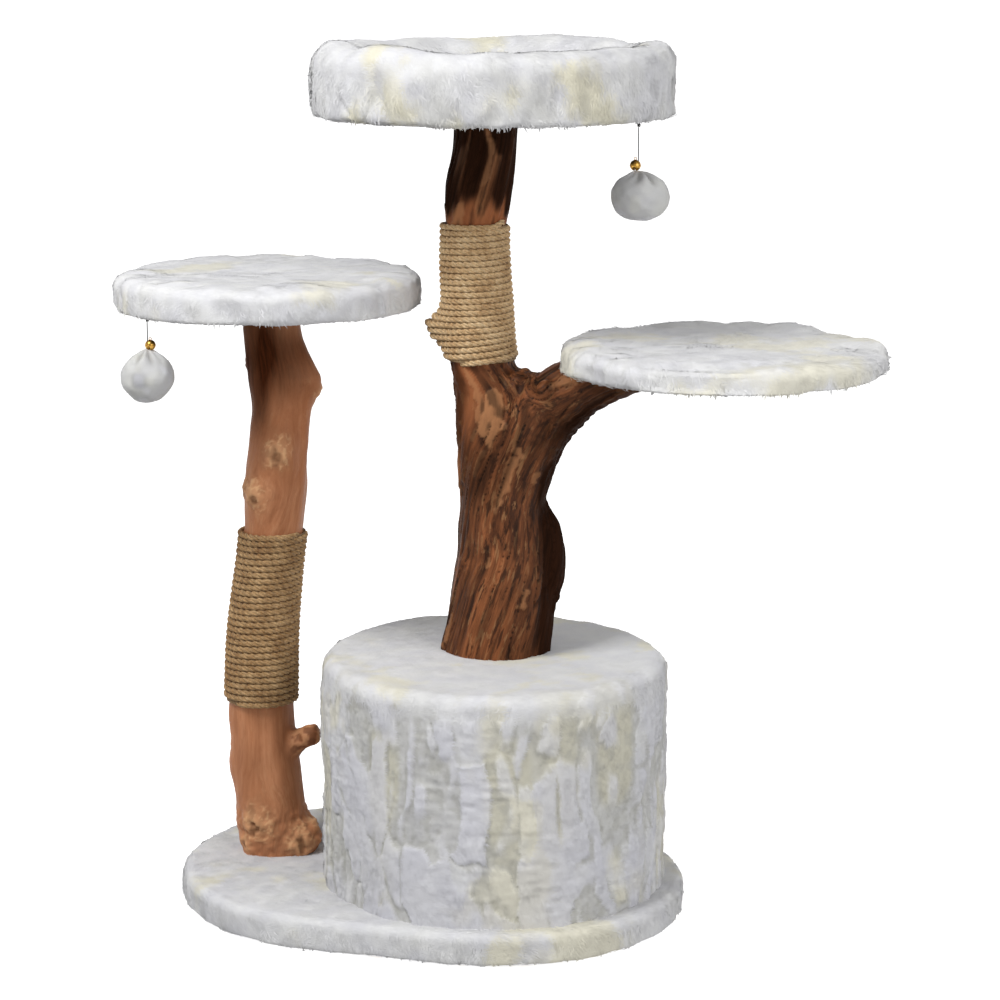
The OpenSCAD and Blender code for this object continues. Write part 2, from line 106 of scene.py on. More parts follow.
def ease(x, low, high):
    """0 below low, 1 above high and smooth between. It runs down where low is over high."""
    t = np.clip((x - low) / (high - low), 0, 1)
    return t * t * (3 - 2 * t)


def noise_along(s, scale, seed, row=0):
    """Smooth noise at the places s along a line."""
    return noise(np.stack([s * scale, s * 0 + row, s * 0], 1), seed)


def cells(u, v, seed, wrap):
    """Scattered points, one to a unit cell, repeating after wrap cells along u.
    Returns the distances to the nearest and the second nearest, and the nearest's own number."""
    iu, iv = np.floor(u), np.floor(v)
    first = np.full(u.shape, 9.0)
    second, number = first.copy(), np.zeros(u.shape)
    for du in (-1, 0, 1):
        for dv in (-1, 0, 1):
            cu, cv = iu + du, iv + dv
            key = np.mod(cu, wrap)
            x = cu + 0.5 + 0.38 * scatter(key, cv, seed)
            y = cv + 0.5 + 0.38 * scatter(key, cv, seed + 1)
            d = np.hypot(x - u, y - v)
            near = d < first
            second = np.where(near, first, np.minimum(second, d))
            number = np.where(near, scatter(key, cv, seed + 2), number)
            first = np.where(near, d, first)
    return first, second, number


# ---------- vectors ----------

def unit(vectors):
    """The same directions with a length of 1."""
    return vectors / (np.linalg.norm(vectors, axis=-1, keepdims=True) + 1e-12)


def from_axis(p, x, y):
    """Level distance of each point from the upright line through x and y."""
    return np.hypot(p[:, 0] - x, p[:, 1] - y)


def around(spoke, over, turn):
    """Directions turned from spoke towards over, by an angle for each row."""
    return spoke * np.cos(turn)[:, None] + over * np.sin(turn)[:, None]


# ---------- meshes ----------

def mesh_object(name, points, faces, smooth=True):
    """A mesh object from its points and its faces: one array, or one for each number of corners."""
    groups = faces if isinstance(faces, (list, tuple)) else [faces]
    groups = [np.asarray(g, np.int32) for g in groups if len(g)]
    mesh = bpy.data.meshes.new(name)
    mesh.vertices.add(len(points))
    mesh.vertices.foreach_set("co", np.asarray(points, np.float32).ravel())
    corners = np.concatenate([g.ravel() for g in groups])
    sizes = np.concatenate([np.full(len(g), g.shape[1], np.int32) for g in groups])
    mesh.loops.add(len(corners))
    mesh.loops.foreach_set("vertex_index", corners)
    mesh.polygons.add(len(sizes))
    mesh.polygons.foreach_set("loop_start", np.concatenate([[0], np.cumsum(sizes)[:-1]]).astype(np.int32))
    mesh.polygons.foreach_set("use_smooth", np.full(len(sizes), smooth))
    mesh.update(calc_edges=True)
    mesh.validate()
    made = bpy.data.objects.new(name, mesh)
    bpy.context.scene.collection.objects.link(made)
    return made


def grid_faces(rows, columns, wrap=True):
    """Quadrilaterals of a grid whose points run along each row of columns in turn."""
    r = np.arange(rows if wrap else rows - 1)
    c = np.arange(columns - 1)
    r, c = np.meshgrid(r, c, indexing="ij")
    following = (r + 1) % rows
    return np.stack([r * columns + c, following * columns + c, following * columns + c + 1,
                     r * columns + c + 1], -1).reshape(-1, 4)


def store(made, name, values):
    """A named number or vector for each point, for the materials."""
    values = np.asarray(values, np.float32)
    kind, key = ("FLOAT", "value") if values.ndim == 1 else ("FLOAT_VECTOR", "vector")
    made.data.attributes.new(name, kind, "POINT").data.foreach_set(key, values.ravel())


def blank(made, *names):
    """Zero for each point, under each of the names."""
    for name in names:
        store(made, name, np.zeros(len(made.data.vertices)))


def points_of(mesh):
    co = np.empty(len(mesh.vertices) * 3, np.float32)
    mesh.vertices.foreach_get("co", co)
    return co.reshape(-1, 3).astype(float)


def normals_of(mesh):
    co = np.empty(len(mesh.vertices) * 3, np.float32)
    mesh.vertex_normals.foreach_get("vector", co)
    return co.reshape(-1, 3).astype(float)


def tree_of(mesh):
    """The surface of a mesh, ready for rays."""
    return BVHTree.FromPolygons([v.co for v in mesh.vertices], [p.vertices for p in mesh.polygons])


def settled(made, *modifiers):
    """The object's mesh after these modifiers, each a kind and its settings, with none left on it."""
    for kind, settings in modifiers:
        modifier = made.modifiers.new(kind.lower(), kind)
        for key, value in settings.items():
            setattr(modifier, key, value)
    graph = bpy.context.evaluated_depsgraph_get()
    mesh = bpy.data.meshes.new_from_object(made.evaluated_get(graph), depsgraph=graph)
    made.modifiers.clear()
    made.data = mesh
    return mesh


def place(made, body, replaced=(), material=None):
    """Every piece's last step: its material, its body and the CAD nodes that it stands for."""
    if material is not None:
        made.data.materials.clear()
        made.data.materials.append(material)
    if made.type == "MESH" and "groove_shade" in made.data.attributes and "lean" not in made.data.attributes:
        store(made, "lean", normals_of(made.data))
    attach(made, body)
    if replaced:
        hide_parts(*replaced)
    return made


# ---------- materials ----------

def paint(r, g, b):
    """A display colour from 0 to 255 as a linear one."""
    shares = np.array([r, g, b]) / 255
    linear = np.where(shares <= 0.04045, shares / 12.92, ((shares + 0.055) / 1.055) ** 2.4)
    return (*(float(c) for c in linear), 1.0)


class Shader:
    """A node material around one Principled node."""

    def __init__(self, name, roughness, **constants):
        self.material = bpy.data.materials.new(name)
        self.material.use_nodes = True
        self.tree = self.material.node_tree
        self.surface = self.tree.nodes["Principled BSDF"]
        self.surface.inputs["Roughness"].default_value = roughness
        for key, value in constants.items():
            self.surface.inputs[key.replace("_", " ")].default_value = value

    def add(self, kind, inputs=None, **settings):
        node = self.tree.nodes.new("ShaderNode" + kind)
        for key, value in settings.items():
            setattr(node, key, value)
        for key, value in (inputs or {}).items():
            self.feed(node.inputs[key], value)
        return node

    def feed(self, socket, value):
        if isinstance(value, bpy.types.NodeSocket):
            self.tree.links.new(value, socket)
        else:
            socket.default_value = value

    def attribute(self, name, output="Fac"):
        return self.add("Attribute", attribute_name=name).outputs[output]

    def place(self):
        """Position on the object, in metres."""
        return self.add("TexCoord").outputs["Object"]

    def scaled(self, vector, scale):
        return self.add("VectorMath", {0: vector, 1: scale}, operation="MULTIPLY").outputs[0]

    def noise(self, vector, scale, detail=3.0, roughness=0.55, warp=0.0):
        node = self.add("TexNoise", {"Vector": vector, "Scale": scale, "Detail": detail,
                                     "Roughness": roughness, "Distortion": warp})
        return node.outputs["Fac"]

    def ramp(self, value, *stops):
        """Colours at places from 0 to 1. A plain number stands for a grey."""
        node = self.add("ValToRGB", {"Fac": value})
        elements = node.color_ramp.elements
        while len(elements) < len(stops):
            elements.new(0.5)
        for element, (position, colour) in zip(elements, stops):
            element.position = position
            element.color = colour if isinstance(colour, tuple) else (colour, colour, colour, 1)
        return node.outputs["Color"]

    def mix(self, share, a, b, blend="MIX"):
        node = self.add("Mix", data_type="RGBA", blend_type=blend)
        for socket, value in zip((node.inputs[0], node.inputs[6], node.inputs[7]), (share, a, b)):
            self.feed(socket, value)
        return node.outputs[2]

    def multiplied(self, tone, shade):
        return self.mix(1.0, tone, shade, "MULTIPLY")

    def maths(self, operation, a, b=0.0):
        return self.add("Math", {0: a, 1: b}, operation=operation).outputs[0]

    def sum_of(self, *weighted):
        """Sum of values, each given with its weight."""
        total = 0.0
        for value, weight in weighted:
            total = self.maths("ADD", self.maths("MULTIPLY", value, weight), total)
        return total

    def colour(self, value):
        self.feed(self.surface.inputs["Base Color"], value)

    def roughness(self, value):
        self.feed(self.surface.inputs["Roughness"], value)

    def bump(self, height, distance, strength=1.0, over=None):
        node = self.add("Bump", {"Height": height, "Distance": distance, "Strength": strength})
        if over is not None:
            self.feed(node.inputs["Normal"], over)
        self.feed(self.surface.inputs["Normal"], node.outputs["Normal"])


def plush_material(name, base=(221, 221, 224), cream=(232, 226, 196), shade=(176, 175, 166)):
    """White long-pile plush with cream and cool patches, painted shade where the pile is pressed into grooves
    and creases, and an overall painted shade set piece by piece.
    """
    s = Shader(name, 0.85, Sheen_Weight=0.35, Sheen_Roughness=0.4, Specular_IOR_Level=0.15)
    spot = s.place()
    fibres = s.noise(spot, 900.0, 2.0)
    soft = s.noise(spot, 26.0, 2.0)
    brighter = (base[0] + 8, base[1] + 8, base[2] + 4)
    white = s.mix(s.ramp(soft, (0.35, 0.0), (0.65, 1.0)), paint(*base), paint(*brighter))
    tone = s.mix(s.attribute("cream"), white, paint(*cream))
    tone = s.mix(s.attribute("cool"), tone, paint(213, 213, 222))
    # painted shade: darker in the grooves, creases and folds
    tone = s.mix(s.attribute("groove_shade"), tone, paint(*shade))
    tone = s.multiplied(tone, s.ramp(fibres, (0.3, 0.95), (0.7, 1.0)))
    tone = s.multiplied(tone, s.ramp(s.attribute("tint"), (0.0, 0.975), (1.0, 1.0)))
    # painted shade: the whole colour darkened by a share set for each piece
    tone = s.mix(s.attribute("painted_shade"), tone, s.multiplied(tone, paint(196, 196, 199)))
    s.colour(tone)
    # the pile is lit as the skin under it, on both of its sides
    lean = s.add("VectorTransform", {"Vector": s.attribute("lean", "Vector")}, vector_type="NORMAL",
                 convert_from="OBJECT", convert_to="WORLD")
    s.bump(fibres, 0.0004, 0.4, lean.outputs[0])
    return s.material


def wood_material(name, tones, char_and_shade, streak, tan, dark, flecks, hairs, relief):
    """Peeled and oiled wood: long streaks along the grain, torn flecks of two tones on them, painted shade in
    the cracks and the hollows between ridges, and dark where it is charred and where shade is painted in the
    char colour."""
    s = Shader(name, 0.55)
    grain = s.attribute("grain", "Vector")
    wide = s.noise(s.scaled(grain, (70, 70, 5.5)), 1.0, 3.0, 0.6, 0.4)
    fine = s.noise(s.scaled(grain, (300, 300, 24)), 1.0, 4.0, 0.65, 0.2)
    hair = s.noise(s.scaled(grain, (1300, 1300, 45)), 1.0, 2.0, 0.6)
    pale_flecks = s.noise(s.scaled(grain, (150, 150, 30)), 1.0, 5.0, 0.62, 0.3)
    dark_flecks = s.noise(s.scaled(grain, (-130, 135, 24)), 1.0, 5.0, 0.62, 0.3)
    blotch = s.noise(s.place(), 16.0, 3.0)
    patches = s.noise(s.scaled(grain, (26, 26, 8)), 1.0, 3.0, 0.6, 0.5)
    torn = s.ramp(patches, (0.42, 0.15), (0.56, 1.0))
    mixed = s.sum_of((wide, 0.52), (fine, 0.33), (blotch, 0.15))
    places = np.linspace(0.5 - streak, 0.5 + streak, len(tones))
    tone = s.ramp(mixed, *[(float(x), paint(*c)) for x, c in zip(places, tones)])
    tone = s.mix(s.maths("MULTIPLY", torn, s.ramp(pale_flecks, (0.55, 0.0), (0.6, flecks))), tone, paint(*tan))
    tone = s.mix(s.ramp(dark_flecks, (0.55, 0.0), (0.61, flecks)), tone, paint(*dark))
    tone = s.multiplied(tone, s.ramp(hair, (0.3, 1 - hairs), (0.62, 1.0)))
    patched = s.multiplied(tone, s.ramp(patches, (0.36, 0.7), (0.64, 1.2)))
    tone = s.mix(min(1.0, 1.2 * flecks), tone, patched)
    tone = s.mix(s.attribute("warm"), tone, s.mix(0.75, tone, paint(150, 90, 54)))
    tone = s.mix(s.attribute("pale"), tone, paint(*tones[-1]))
    tone = s.mix(s.attribute("knot"), tone, paint(*[0.42 * c for c in tones[1]]))
    # painted shade in the cracks and in the hollows between the ridges
    tone = s.mix(s.attribute("crack_shade"), tone, paint(*[0.35 * c for c in tones[0]]))
    # the char colour, for real char and for painted shade
    burnt = s.mix(s.ramp(fine, (0.35, 0.0), (0.7, 1.0)), paint(*char_and_shade), paint(*[1.6 * c for c in char_and_shade]))
    tone = s.mix(s.attribute("char_and_shade"), tone, burnt)
    s.colour(tone)
    shine = s.maths("SUBTRACT", 0.09, s.maths("MULTIPLY", s.attribute("char_and_shade"), 0.085))
    s.feed(s.surface.inputs["Specular IOR Level"], shine)
    s.roughness(s.maths("ADD", s.maths("MULTIPLY", fine, 0.35), 0.36))
    s.bump(s.maths("ADD", fine, s.maths("MULTIPLY", hair, 0.5)), relief, 0.7)
    return s.material


def rope_material(name, dark, mid, light):
    """Twisted jute: each strand is made of thin yarns that wind round it. Painted shade darkens the furrows
    between the yarns and the turns underneath.
    """
    s = Shader(name, 0.9, Specular_IOR_Level=0.15, Sheen_Weight=0.1)
    along = s.attribute("along")
    across = s.attribute("across")
    yarn = s.maths("SINE", s.sum_of((along, 900.0), (across, TAU * 7)))
    yarn = s.maths("ADD", s.maths("MULTIPLY", yarn, 0.5), 0.5)
    spots = s.noise(s.place(), 330.0, 4.0, 0.7)
    broad = s.noise(s.place(), 45.0, 2.0)
    mottle = s.sum_of((spots, 0.6), (broad, 0.4))
    tone = s.ramp(mottle, (0.34, paint(*dark)), (0.5, paint(*mid)), (0.68, paint(*light)))
    # painted shade in the furrows between the yarns
    tone = s.multiplied(tone, s.ramp(yarn, (0.0, 0.72), (0.5, 1.0)))
    # painted shade on the turns underneath
    tone = s.mix(s.attribute("core_shade"), tone, paint(*[0.5 * c for c in dark]))
    s.colour(tone)
    s.bump(s.maths("ADD", yarn, spots), 0.0005, 0.8)
    return s.material


def plain_material(name, colours, scale, roughness, depth=0.0002, metallic=0.0, stretch=(1, 1, 1), shine=0.5):
    """A material with fine variation between two colours, for hardware, boards, foam and linings."""
    s = Shader(name, roughness, Metallic=metallic, Specular_IOR_Level=shine)
    pattern = s.noise(s.scaled(s.place(), stretch), scale, 4.0, 0.6)
    s.colour(s.ramp(pattern, (0.35, paint(*colours[0])), (0.65, paint(*colours[1]))))
    s.roughness(s.maths("ADD", s.maths("MULTIPLY", pattern, 0.2), roughness - 0.1))
    s.bump(pattern, depth, 0.6)
    return s.material


plush = plush_material("plush")
velvet = plush_material("toy_plush", base=(189, 189, 190), cream=(193, 192, 186), shade=(146, 144, 139))
soft_lining = plush_material("soft_lining", base=(198, 198, 201), cream=(206, 203, 190))
trunk_wood = wood_material(
    "trunk_wood", tones=[(33, 19, 11), (68, 38, 22), (103, 61, 36), (132, 79, 47), (164, 114, 76)],
    char_and_shade=(32, 18, 11), streak=0.17, tan=(140, 100, 66), dark=(38, 20, 11),
    flecks=0.75, hairs=0.22, relief=0.0008)
post_wood = wood_material(
    "post_wood", tones=[(130, 80, 50), (156, 101, 68), (172, 115, 80), (184, 128, 92), (206, 158, 116)],
    char_and_shade=(54, 27, 14), streak=0.3, tan=(188, 138, 100), dark=(146, 92, 60),
    flecks=0.3, hairs=0.08, relief=0.0003)
trunk_jute = rope_material("trunk_jute", (166, 126, 82), (212, 178, 132), (238, 212, 170))
post_jute = rope_material("post_jute", (132, 94, 56), (176, 140, 96), (212, 178, 132))
brass = plain_material("brass", ((150, 104, 40), (206, 166, 84)), 500, 0.32, 0.00005, 1.0)
steel = plain_material("steel", ((150, 151, 154), (186, 187, 190)), 700, 0.38, 0.00003, 1.0)
particle_board = plain_material("board", ((150, 116, 74), (196, 162, 112)), 260, 0.75, 0.0004, 0.0, (1, 1, 2.5))
foam = plain_material("foam", ((214, 202, 164), (228, 218, 184)), 900, 0.95, 0.0004)
felt = plain_material("non_woven", ((38, 38, 41), (58, 58, 62)), 900, 0.95, 0.0003)
rubber = plain_material("rubber", ((22, 22, 23), (36, 36, 38)), 800, 0.8, 0.0002)
thread = plain_material("string", ((14, 13, 13), (28, 27, 27)), 1800, 0.9, 0.0001, shine=0.05)


# ---------- camera, lights and floor ----------

def make_camera():
    data = bpy.data.cameras.new("camera")
    data.sensor_width = 36
    data.lens = 104.58
    made = bpy.data.objects.new("camera", data)
    made.location = (1.0682, -3.2532, 1.2084)
    made.rotation_euler = (math.radians(78.32), 0, math.radians(16.77))
    bpy.context.scene.collection.objects.link(made)
    bpy.context.scene.camera = made


def make_light(name, position, target, size, power):
    data = bpy.data.lights.new(name, "AREA")
    data.shape = "SQUARE"
    data.size = size
    data.energy = power
    made = bpy.data.objects.new(name, data)
    made.location = position
    made.rotation_euler = (Vector(target) - Vector(position)).to_track_quat("-Z", "Y").to_euler()
    bpy.context.scene.collection.objects.link(made)


def make_world(light, seen):
    """Even white light all round, brighter where it is seen than in what it lights."""
    world = bpy.data.worlds.new("studio")
    world.use_nodes = True
    tree = world.node_tree
    back = tree.nodes["Background"]
    path = tree.nodes.new("ShaderNodeLightPath")
    strength = tree.nodes.new("ShaderNodeMapRange")
    strength.inputs["To Min"].default_value = light
    strength.inputs["To Max"].default_value = seen
    back.inputs["Color"].default_value = (1, 1, 1, 1)
    tree.links.new(path.outputs["Is Camera Ray"], strength.inputs["Value"])
    tree.links.new(strength.outputs[0], back.inputs["Strength"])
    bpy.context.scene.world = world


def make_floor():
    """A floor that turns up into a backdrop all round, far from the object."""
    flat, bend = 4.0, 3.0
    rise = [(flat + bend * math.sin(a), bend - bend * math.cos(a)) for a in np.linspace(0, 1.4, 12)]
    skin = Skin(*round_outline((0, 0), 96), [(1 * MM, 0), (flat / 2, 0), *rise])
    made = mesh_object("floor", skin.points.reshape(-1, 3), grid_faces(skin.rows, skin.columns)[:, ::-1])
    s = Shader("floor", 0.9, Specular_IOR_Level=0.1, Emission_Strength=0.75, Emission_Color=(1, 1, 1, 1))
    s.colour(s.ramp(s.noise(s.place(), 30.0), (0.3, paint(243, 243, 243)), (0.7, paint(247, 247, 247))))
    made.data.materials.append(s.material)
    made.visible_diffuse = False


def make_studio():
    bpy.context.scene.view_settings.view_transform = "Standard"
    make_world(0.52, 1.0)
    make_floor()
    make_light("key", (-1.0, -1.45, 2.63), (0.05, 0, 0.5), 1.0, 59)
    make_light("fill", (2.6, -1.6, 1.5), (0.05, 0, 0.5), 2.0, 42)


make_camera()


# ---------- toy strings ----------

def string_ends(side):
    """Top and bottom of a toy's string, from its CAD solid."""
    low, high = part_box(side + "_toy_string")
    x, y = (low.x + high.x) / 2, (low.y + high.y) / 2
    return Vector((x, y, high.z)), Vector((x, y, low.z))


def make_string(side):
    top, bottom = string_ends(side)
    data = bpy.data.curves.new(side + "_string", "CURVE")
    data.dimensions = "3D"
    data.bevel_depth = 0.0006
    data.bevel_resolution = 3
    spline = data.splines.new("POLY")
    count = 16
    spline.points.add(count - 1)
    for k in range(count):
        spline.points[k].co = (*top.lerp(bottom, k / (count - 1)), 1)
    made = bpy.data.objects.new(side + "_string", data)
    bpy.context.scene.collection.objects.link(made)
    place(made, side + "_toy", [side + "_toy_string"], thread)


for toy_side in ("left", "right"):
    make_string(toy_side)


# ---------- plush ----------

class Skin:
    """A grid of points round an outline, rows along the outline and columns along a profile.
    outline gives the outline's inner line and outward directions; profile is (distance out, height) pairs."""

    def __init__(self, inner, outward, profile):
        profile = np.asarray(profile, float)
        self.rows, self.columns = len(inner), len(profile)
        self.points = (inner[:, None] + outward[:, None] * profile[None, :, :1]
                       + UP * profile[None, :, 1:])
        self.v = np.concatenate([[0], np.cumsum(np.hypot(*np.diff(profile, axis=0).T))])
        widest = self.points[:, np.argmax(profile[:, 0])]
        steps = np.linalg.norm(widest - np.roll(widest, -1, 0), axis=1)
        self.u = np.concatenate([[0], np.cumsum(steps)[:-1]])
        self.length = steps.sum()
        self.groove_shade = np.zeros((self.rows, self.columns))
        self.cream, self.cool, self.painted_shade = self.groove_shade.copy(), self.groove_shade.copy(), self.groove_shade.copy()
        self.keep = np.ones((self.rows, self.columns), bool)
        self.set_directions()

    def set_directions(self):
        """Unit vectors along the rows and columns, and outward."""
        self.around = np.roll(self.points, -1, 0) - np.roll(self.points, 1, 0)
        self.down = np.gradient(self.points, axis=1)
        self.around, self.down = unit(self.around), unit(self.down)
        self.out = unit(np.cross(self.down, self.around))

    def flat(self):
        """The points as one list."""
        return self.points.reshape(-1, 3)

    def surface_places(self):
        """How far along the outline and down the profile each point lies."""
        return np.repeat(self.u, self.columns), np.tile(self.v, self.rows)

    def shaped(self, values):
        """A list with a value for each point, as rows and columns."""
        return values.reshape(self.rows, self.columns)

    def push(self, height):
        """Moves each point outward by its height."""
        self.points = self.points + self.out * height.reshape(self.rows, self.columns, 1)
        self.set_directions()

    def make(self, name, material, part=None):
        """The object, or only the part of it where part is true for each point."""
        faces = grid_faces(self.rows, self.columns)[:, ::-1]
        faces = faces[self.keep.ravel()[faces].all(1)]
        if part is not None:
            faces = faces[part[faces].mean(1) > 0.4]
        made = mesh_object(name, self.points.reshape(-1, 3), faces)
        for key in ("groove_shade", "cream", "cool", "painted_shade"):
            store(made, key, getattr(self, key).ravel())
        store(made, "tint", np.full(self.rows * self.columns, 0.7))
        made.data.materials.append(material)
        return made


def round_outline(centre, count):
    a = np.linspace(0, TAU, count, endpoint=False)
    out = np.stack([np.cos(a), np.sin(a), np.zeros(count)], 1)
    return np.tile([centre[0], centre[1], 0.0], (count, 1)), out


def stadium_outline(half, r, count):
    """The base's outline: two half circles and the straight runs between them."""
    total = 4 * half + TAU * r
    s = np.linspace(0, total, count, endpoint=False)
    inner, out = np.zeros((count, 3)), np.zeros((count, 3))
    arc = math.pi * r
    for k, x in enumerate(s):
        side, x = (1, x) if x < arc + 2 * half else (-1, x - arc - 2 * half)
        turned = min(x / r, math.pi)
        along = max(x - arc, 0)
        a = turned - math.pi / 2 + (0 if side > 0 else math.pi)
        inner[k, 0] = side * (half - along)
        out[k, :2] = math.cos(a), math.sin(a)
    return inner, out


def arc_points(centre, r, start, end, count):
    a = np.radians(np.linspace(start, end, count))
    return np.stack([centre[0] + r * np.cos(a), centre[1] + r * np.sin(a)], 1)


def spaced(profile, step):
    """The profile with points about a step apart."""
    profile = np.asarray(profile, float)
    s = np.concatenate([[0], np.cumsum(np.hypot(*np.diff(profile, axis=0).T))])
    t = np.linspace(0, s[-1], max(3, int(s[-1] / step)))
    return np.stack([np.interp(t, s, profile[:, k]) for k in (0, 1)], 1)


def brush_up(skin, strength, wide=0.03, tall=0.085, seed=1):
    """Plush brushed into raised, smooth islands with ragged edges, and crinkled pile in the gaps, where painted
    shade darkens it.
    strength is a number for each point, so that the pattern fades where the plush lies flat."""
    p, (u, v) = skin.flat(), skin.surface_places()
    upright = np.array([1, 1, 0.42])
    ragged = noise(p * 150 * upright, seed + 2)
    wrap = max(4, round(skin.length / wide))
    cu = (u / skin.length * wrap + 0.45 * noise(p * 21 * upright, seed + 5)
          + 0.16 * noise(p * 60 * upright, seed + 13) + 0.06 * ragged)
    cv = v / tall + 0.45 * noise(p * 15, seed + 6) + 0.14 * noise(p * 50, seed + 14)
    first, second, number = cells(cu, cv, seed, wrap)
    gap = second - first
    q = p / np.array([wide, wide, tall])
    patches = noise(q, seed) + 0.5 * noise(q * 2.2 + 4, seed + 3)
    level = (0.75 * patches + 0.95 * (gap - 0.24) + 0.3 * number + 0.07 * ragged
             + 0.1 * noise(p * 75 * upright, seed + 4))
    raised = ease(level, -0.3, 0.14)
    small, small2, other = cells(cu * 2.6, cv * 5.2, seed + 9, round(wrap * 2.6))
    crumbly = ease(noise(p * 12 + 7, seed + 8), 0.0, 0.35)
    crumbs = ease(small2 - small, 0.0, 0.45) * (0.6 + 0.4 * other)
    crinkle = noise(p * np.array([130, 130, 60]), seed + 12) + 0.6 * noise(p * 230, seed + 15)
    streaks = noise(p * np.array([45, 45, 170]), seed + 17) * ease(noise(p * 9 + 3, seed + 18), -0.2, 0.3)
    height = (2.3 * raised + 0.6 * ease(level, 0.0, 0.9) + 0.4 * number * raised - 1.1 * crumbly * (1 - crumbs)
              + 0.9 * noise(p * 50, seed + 10) + 0.65 * (1 - 0.7 * raised) * crinkle
              + 0.8 * streaks)
    skin.push(height * MM * strength)
    edge = ease(level, -0.34, -0.1) * ease(level, 0.1, -0.1)
    # painted shade in the gaps, in the crinkles, in the sunken crumbs and along the islands' edges
    gap_shade = (0.4 * (1 - raised) + 0.25 * (1 - raised) * ease(crinkle, 0.1, -0.6) + 0.2 * crumbly * (1 - crumbs)
            + 0.3 * edge * ease(noise(p * 30, seed + 16), -0.3, 0.3)) * strength
    cream = ease(noise(p * np.array([20, 20, 9]), seed + 11), 0.0, 0.4)
    cream = cream * (0.25 + 0.75 * (1 - raised)) * strength
    cool = ease(number + 0.3 * patches, -0.5, 0.3) * raised * strength
    skin.groove_shade = skin.shaped(np.clip(gap_shade, 0, 1))
    skin.cream = skin.shaped(np.clip(0.75 * cream, 0, 1))
    skin.cool = skin.shaped(np.clip(0.5 * cool * (1 - cream), 0, 1))


def fold(skin, strength, seed, depth=1.1):
    """Soft lumps and a few upright creases where the plush is pulled round an edge, with painted shade in the
    creases.
    """
    p = skin.flat()
    bent = p + 0.006 * np.stack([noise(p * 35, seed + k) for k in (3, 4, 5)], 1)
    line = noise(bent * np.array([48, 48, 12]), seed)
    crease = ease(np.abs(line), 0.3, 0.0) * ease(noise(p * 10 + 2, seed + 1), -0.05, 0.4) * strength
    lumps = noise(bent * np.array([55, 55, 22]), seed + 6)
    skin.push((0.9 * noise(p * 24, seed + 2) + 0.7 * lumps * strength - depth * crease) * MM)
    # painted shade in the creases
    skin.groove_shade = np.maximum(skin.groove_shade, skin.shaped(0.22 * crease))


def smooth_up(values, factor, count, wrap):
    """Values at every factor-th place along the first axis, spread smoothly over count places."""
    position = np.arange(count) / factor
    first = np.floor(position).astype(int)
    f = (position - first).reshape((-1,) + (1,) * (values.ndim - 1))
    weights = ((1 - f) ** 3, 3 * f**3 - 6 * f**2 + 4, -3 * f**3 + 3 * f**2 + 3 * f + 1, f**3)
    total = 0
    for k, weight in enumerate(weights):
        index = first + k - 1
        index = index % len(values) if wrap else np.clip(index, 0, len(values) - 1)
        total = total + values[index] * weight / 6
    return total


ROW_STEP, COLUMN_STEP = 5, 3     # how much coarser the cloth copy is than the skin
CLOTH_FRAMES = 20


def puff(skin, pinned, cap, slack=0.03, pressure=4.0):
    """Cloth simulation on a coarse copy of the skin, blown up from inside and without gravity.
    The cover is cut a little slack, so it settles in soft folds. The fine points then move as the
    copy did, by no more than cap."""
    rows, columns = np.arange(0, skin.rows, ROW_STEP), np.arange(0, skin.columns, COLUMN_STEP)
    start = skin.points[rows][:, columns]
    made = mesh_object("cloth_copy", start.reshape(-1, 3), grid_faces(len(rows), len(columns))[:, ::-1])
    group = made.vertex_groups.new(name="pinned")
    held = skin.shaped(pinned)[rows][:, columns].ravel()
    group.add([int(k) for k in np.flatnonzero(held)], 1.0, "REPLACE")
    cloth = made.modifiers.new("cloth", "CLOTH")
    settings = cloth.settings
    settings.quality = 5
    settings.mass = 0.25
    settings.tension_stiffness = settings.compression_stiffness = 12
    settings.shear_stiffness = 4
    settings.bending_stiffness = 0.4
    settings.use_pressure = True
    settings.uniform_pressure_force = pressure
    settings.shrink_min = -slack
    settings.vertex_group_mass = "pinned"
    settings.effector_weights.gravity = 0
    cloth.collision_settings.use_collision = False
    for k in range(1, CLOTH_FRAMES + 1):
        bpy.context.scene.frame_set(k)
    graph = bpy.context.evaluated_depsgraph_get()
    settled_points = points_of(made.evaluated_get(graph).data)
    moved = settled_points.reshape(start.shape) - start
    far = np.linalg.norm(moved, axis=2, keepdims=True)
    moved = moved * np.minimum(1, cap / (far + 1e-9))
    moved = smooth_up(moved, ROW_STEP, skin.rows, True)
    moved = smooth_up(np.swapaxes(moved, 0, 1), COLUMN_STEP, skin.columns, False)
    skin.points = skin.points + np.swapaxes(moved, 0, 1)
    skin.set_directions()
    bpy.data.objects.remove(made, do_unlink=True)
    bpy.context.scene.frame_set(1)


def hold_out(skin, centre, r, low, high, gap=1.2 * MM):
    """Keeps the skin clear of the boards and padding inside it, which fill a cylinder."""
    axis = np.array([centre.x, centre.y])
    off = skin.points[..., :2] - axis
    reach = np.linalg.norm(off, axis=2)
    level = skin.points[..., 2]
    inside = (reach < r + gap) & (level < high + gap) & (level > low)
    nearer_top = inside & (level - high > reach - r)
    level[nearer_top] = high + gap
    out = inside & ~nearer_top
    off[out] *= ((r + gap) / reach[out])[:, None]
    skin.points[..., :2] = axis + off
    skin.set_directions()


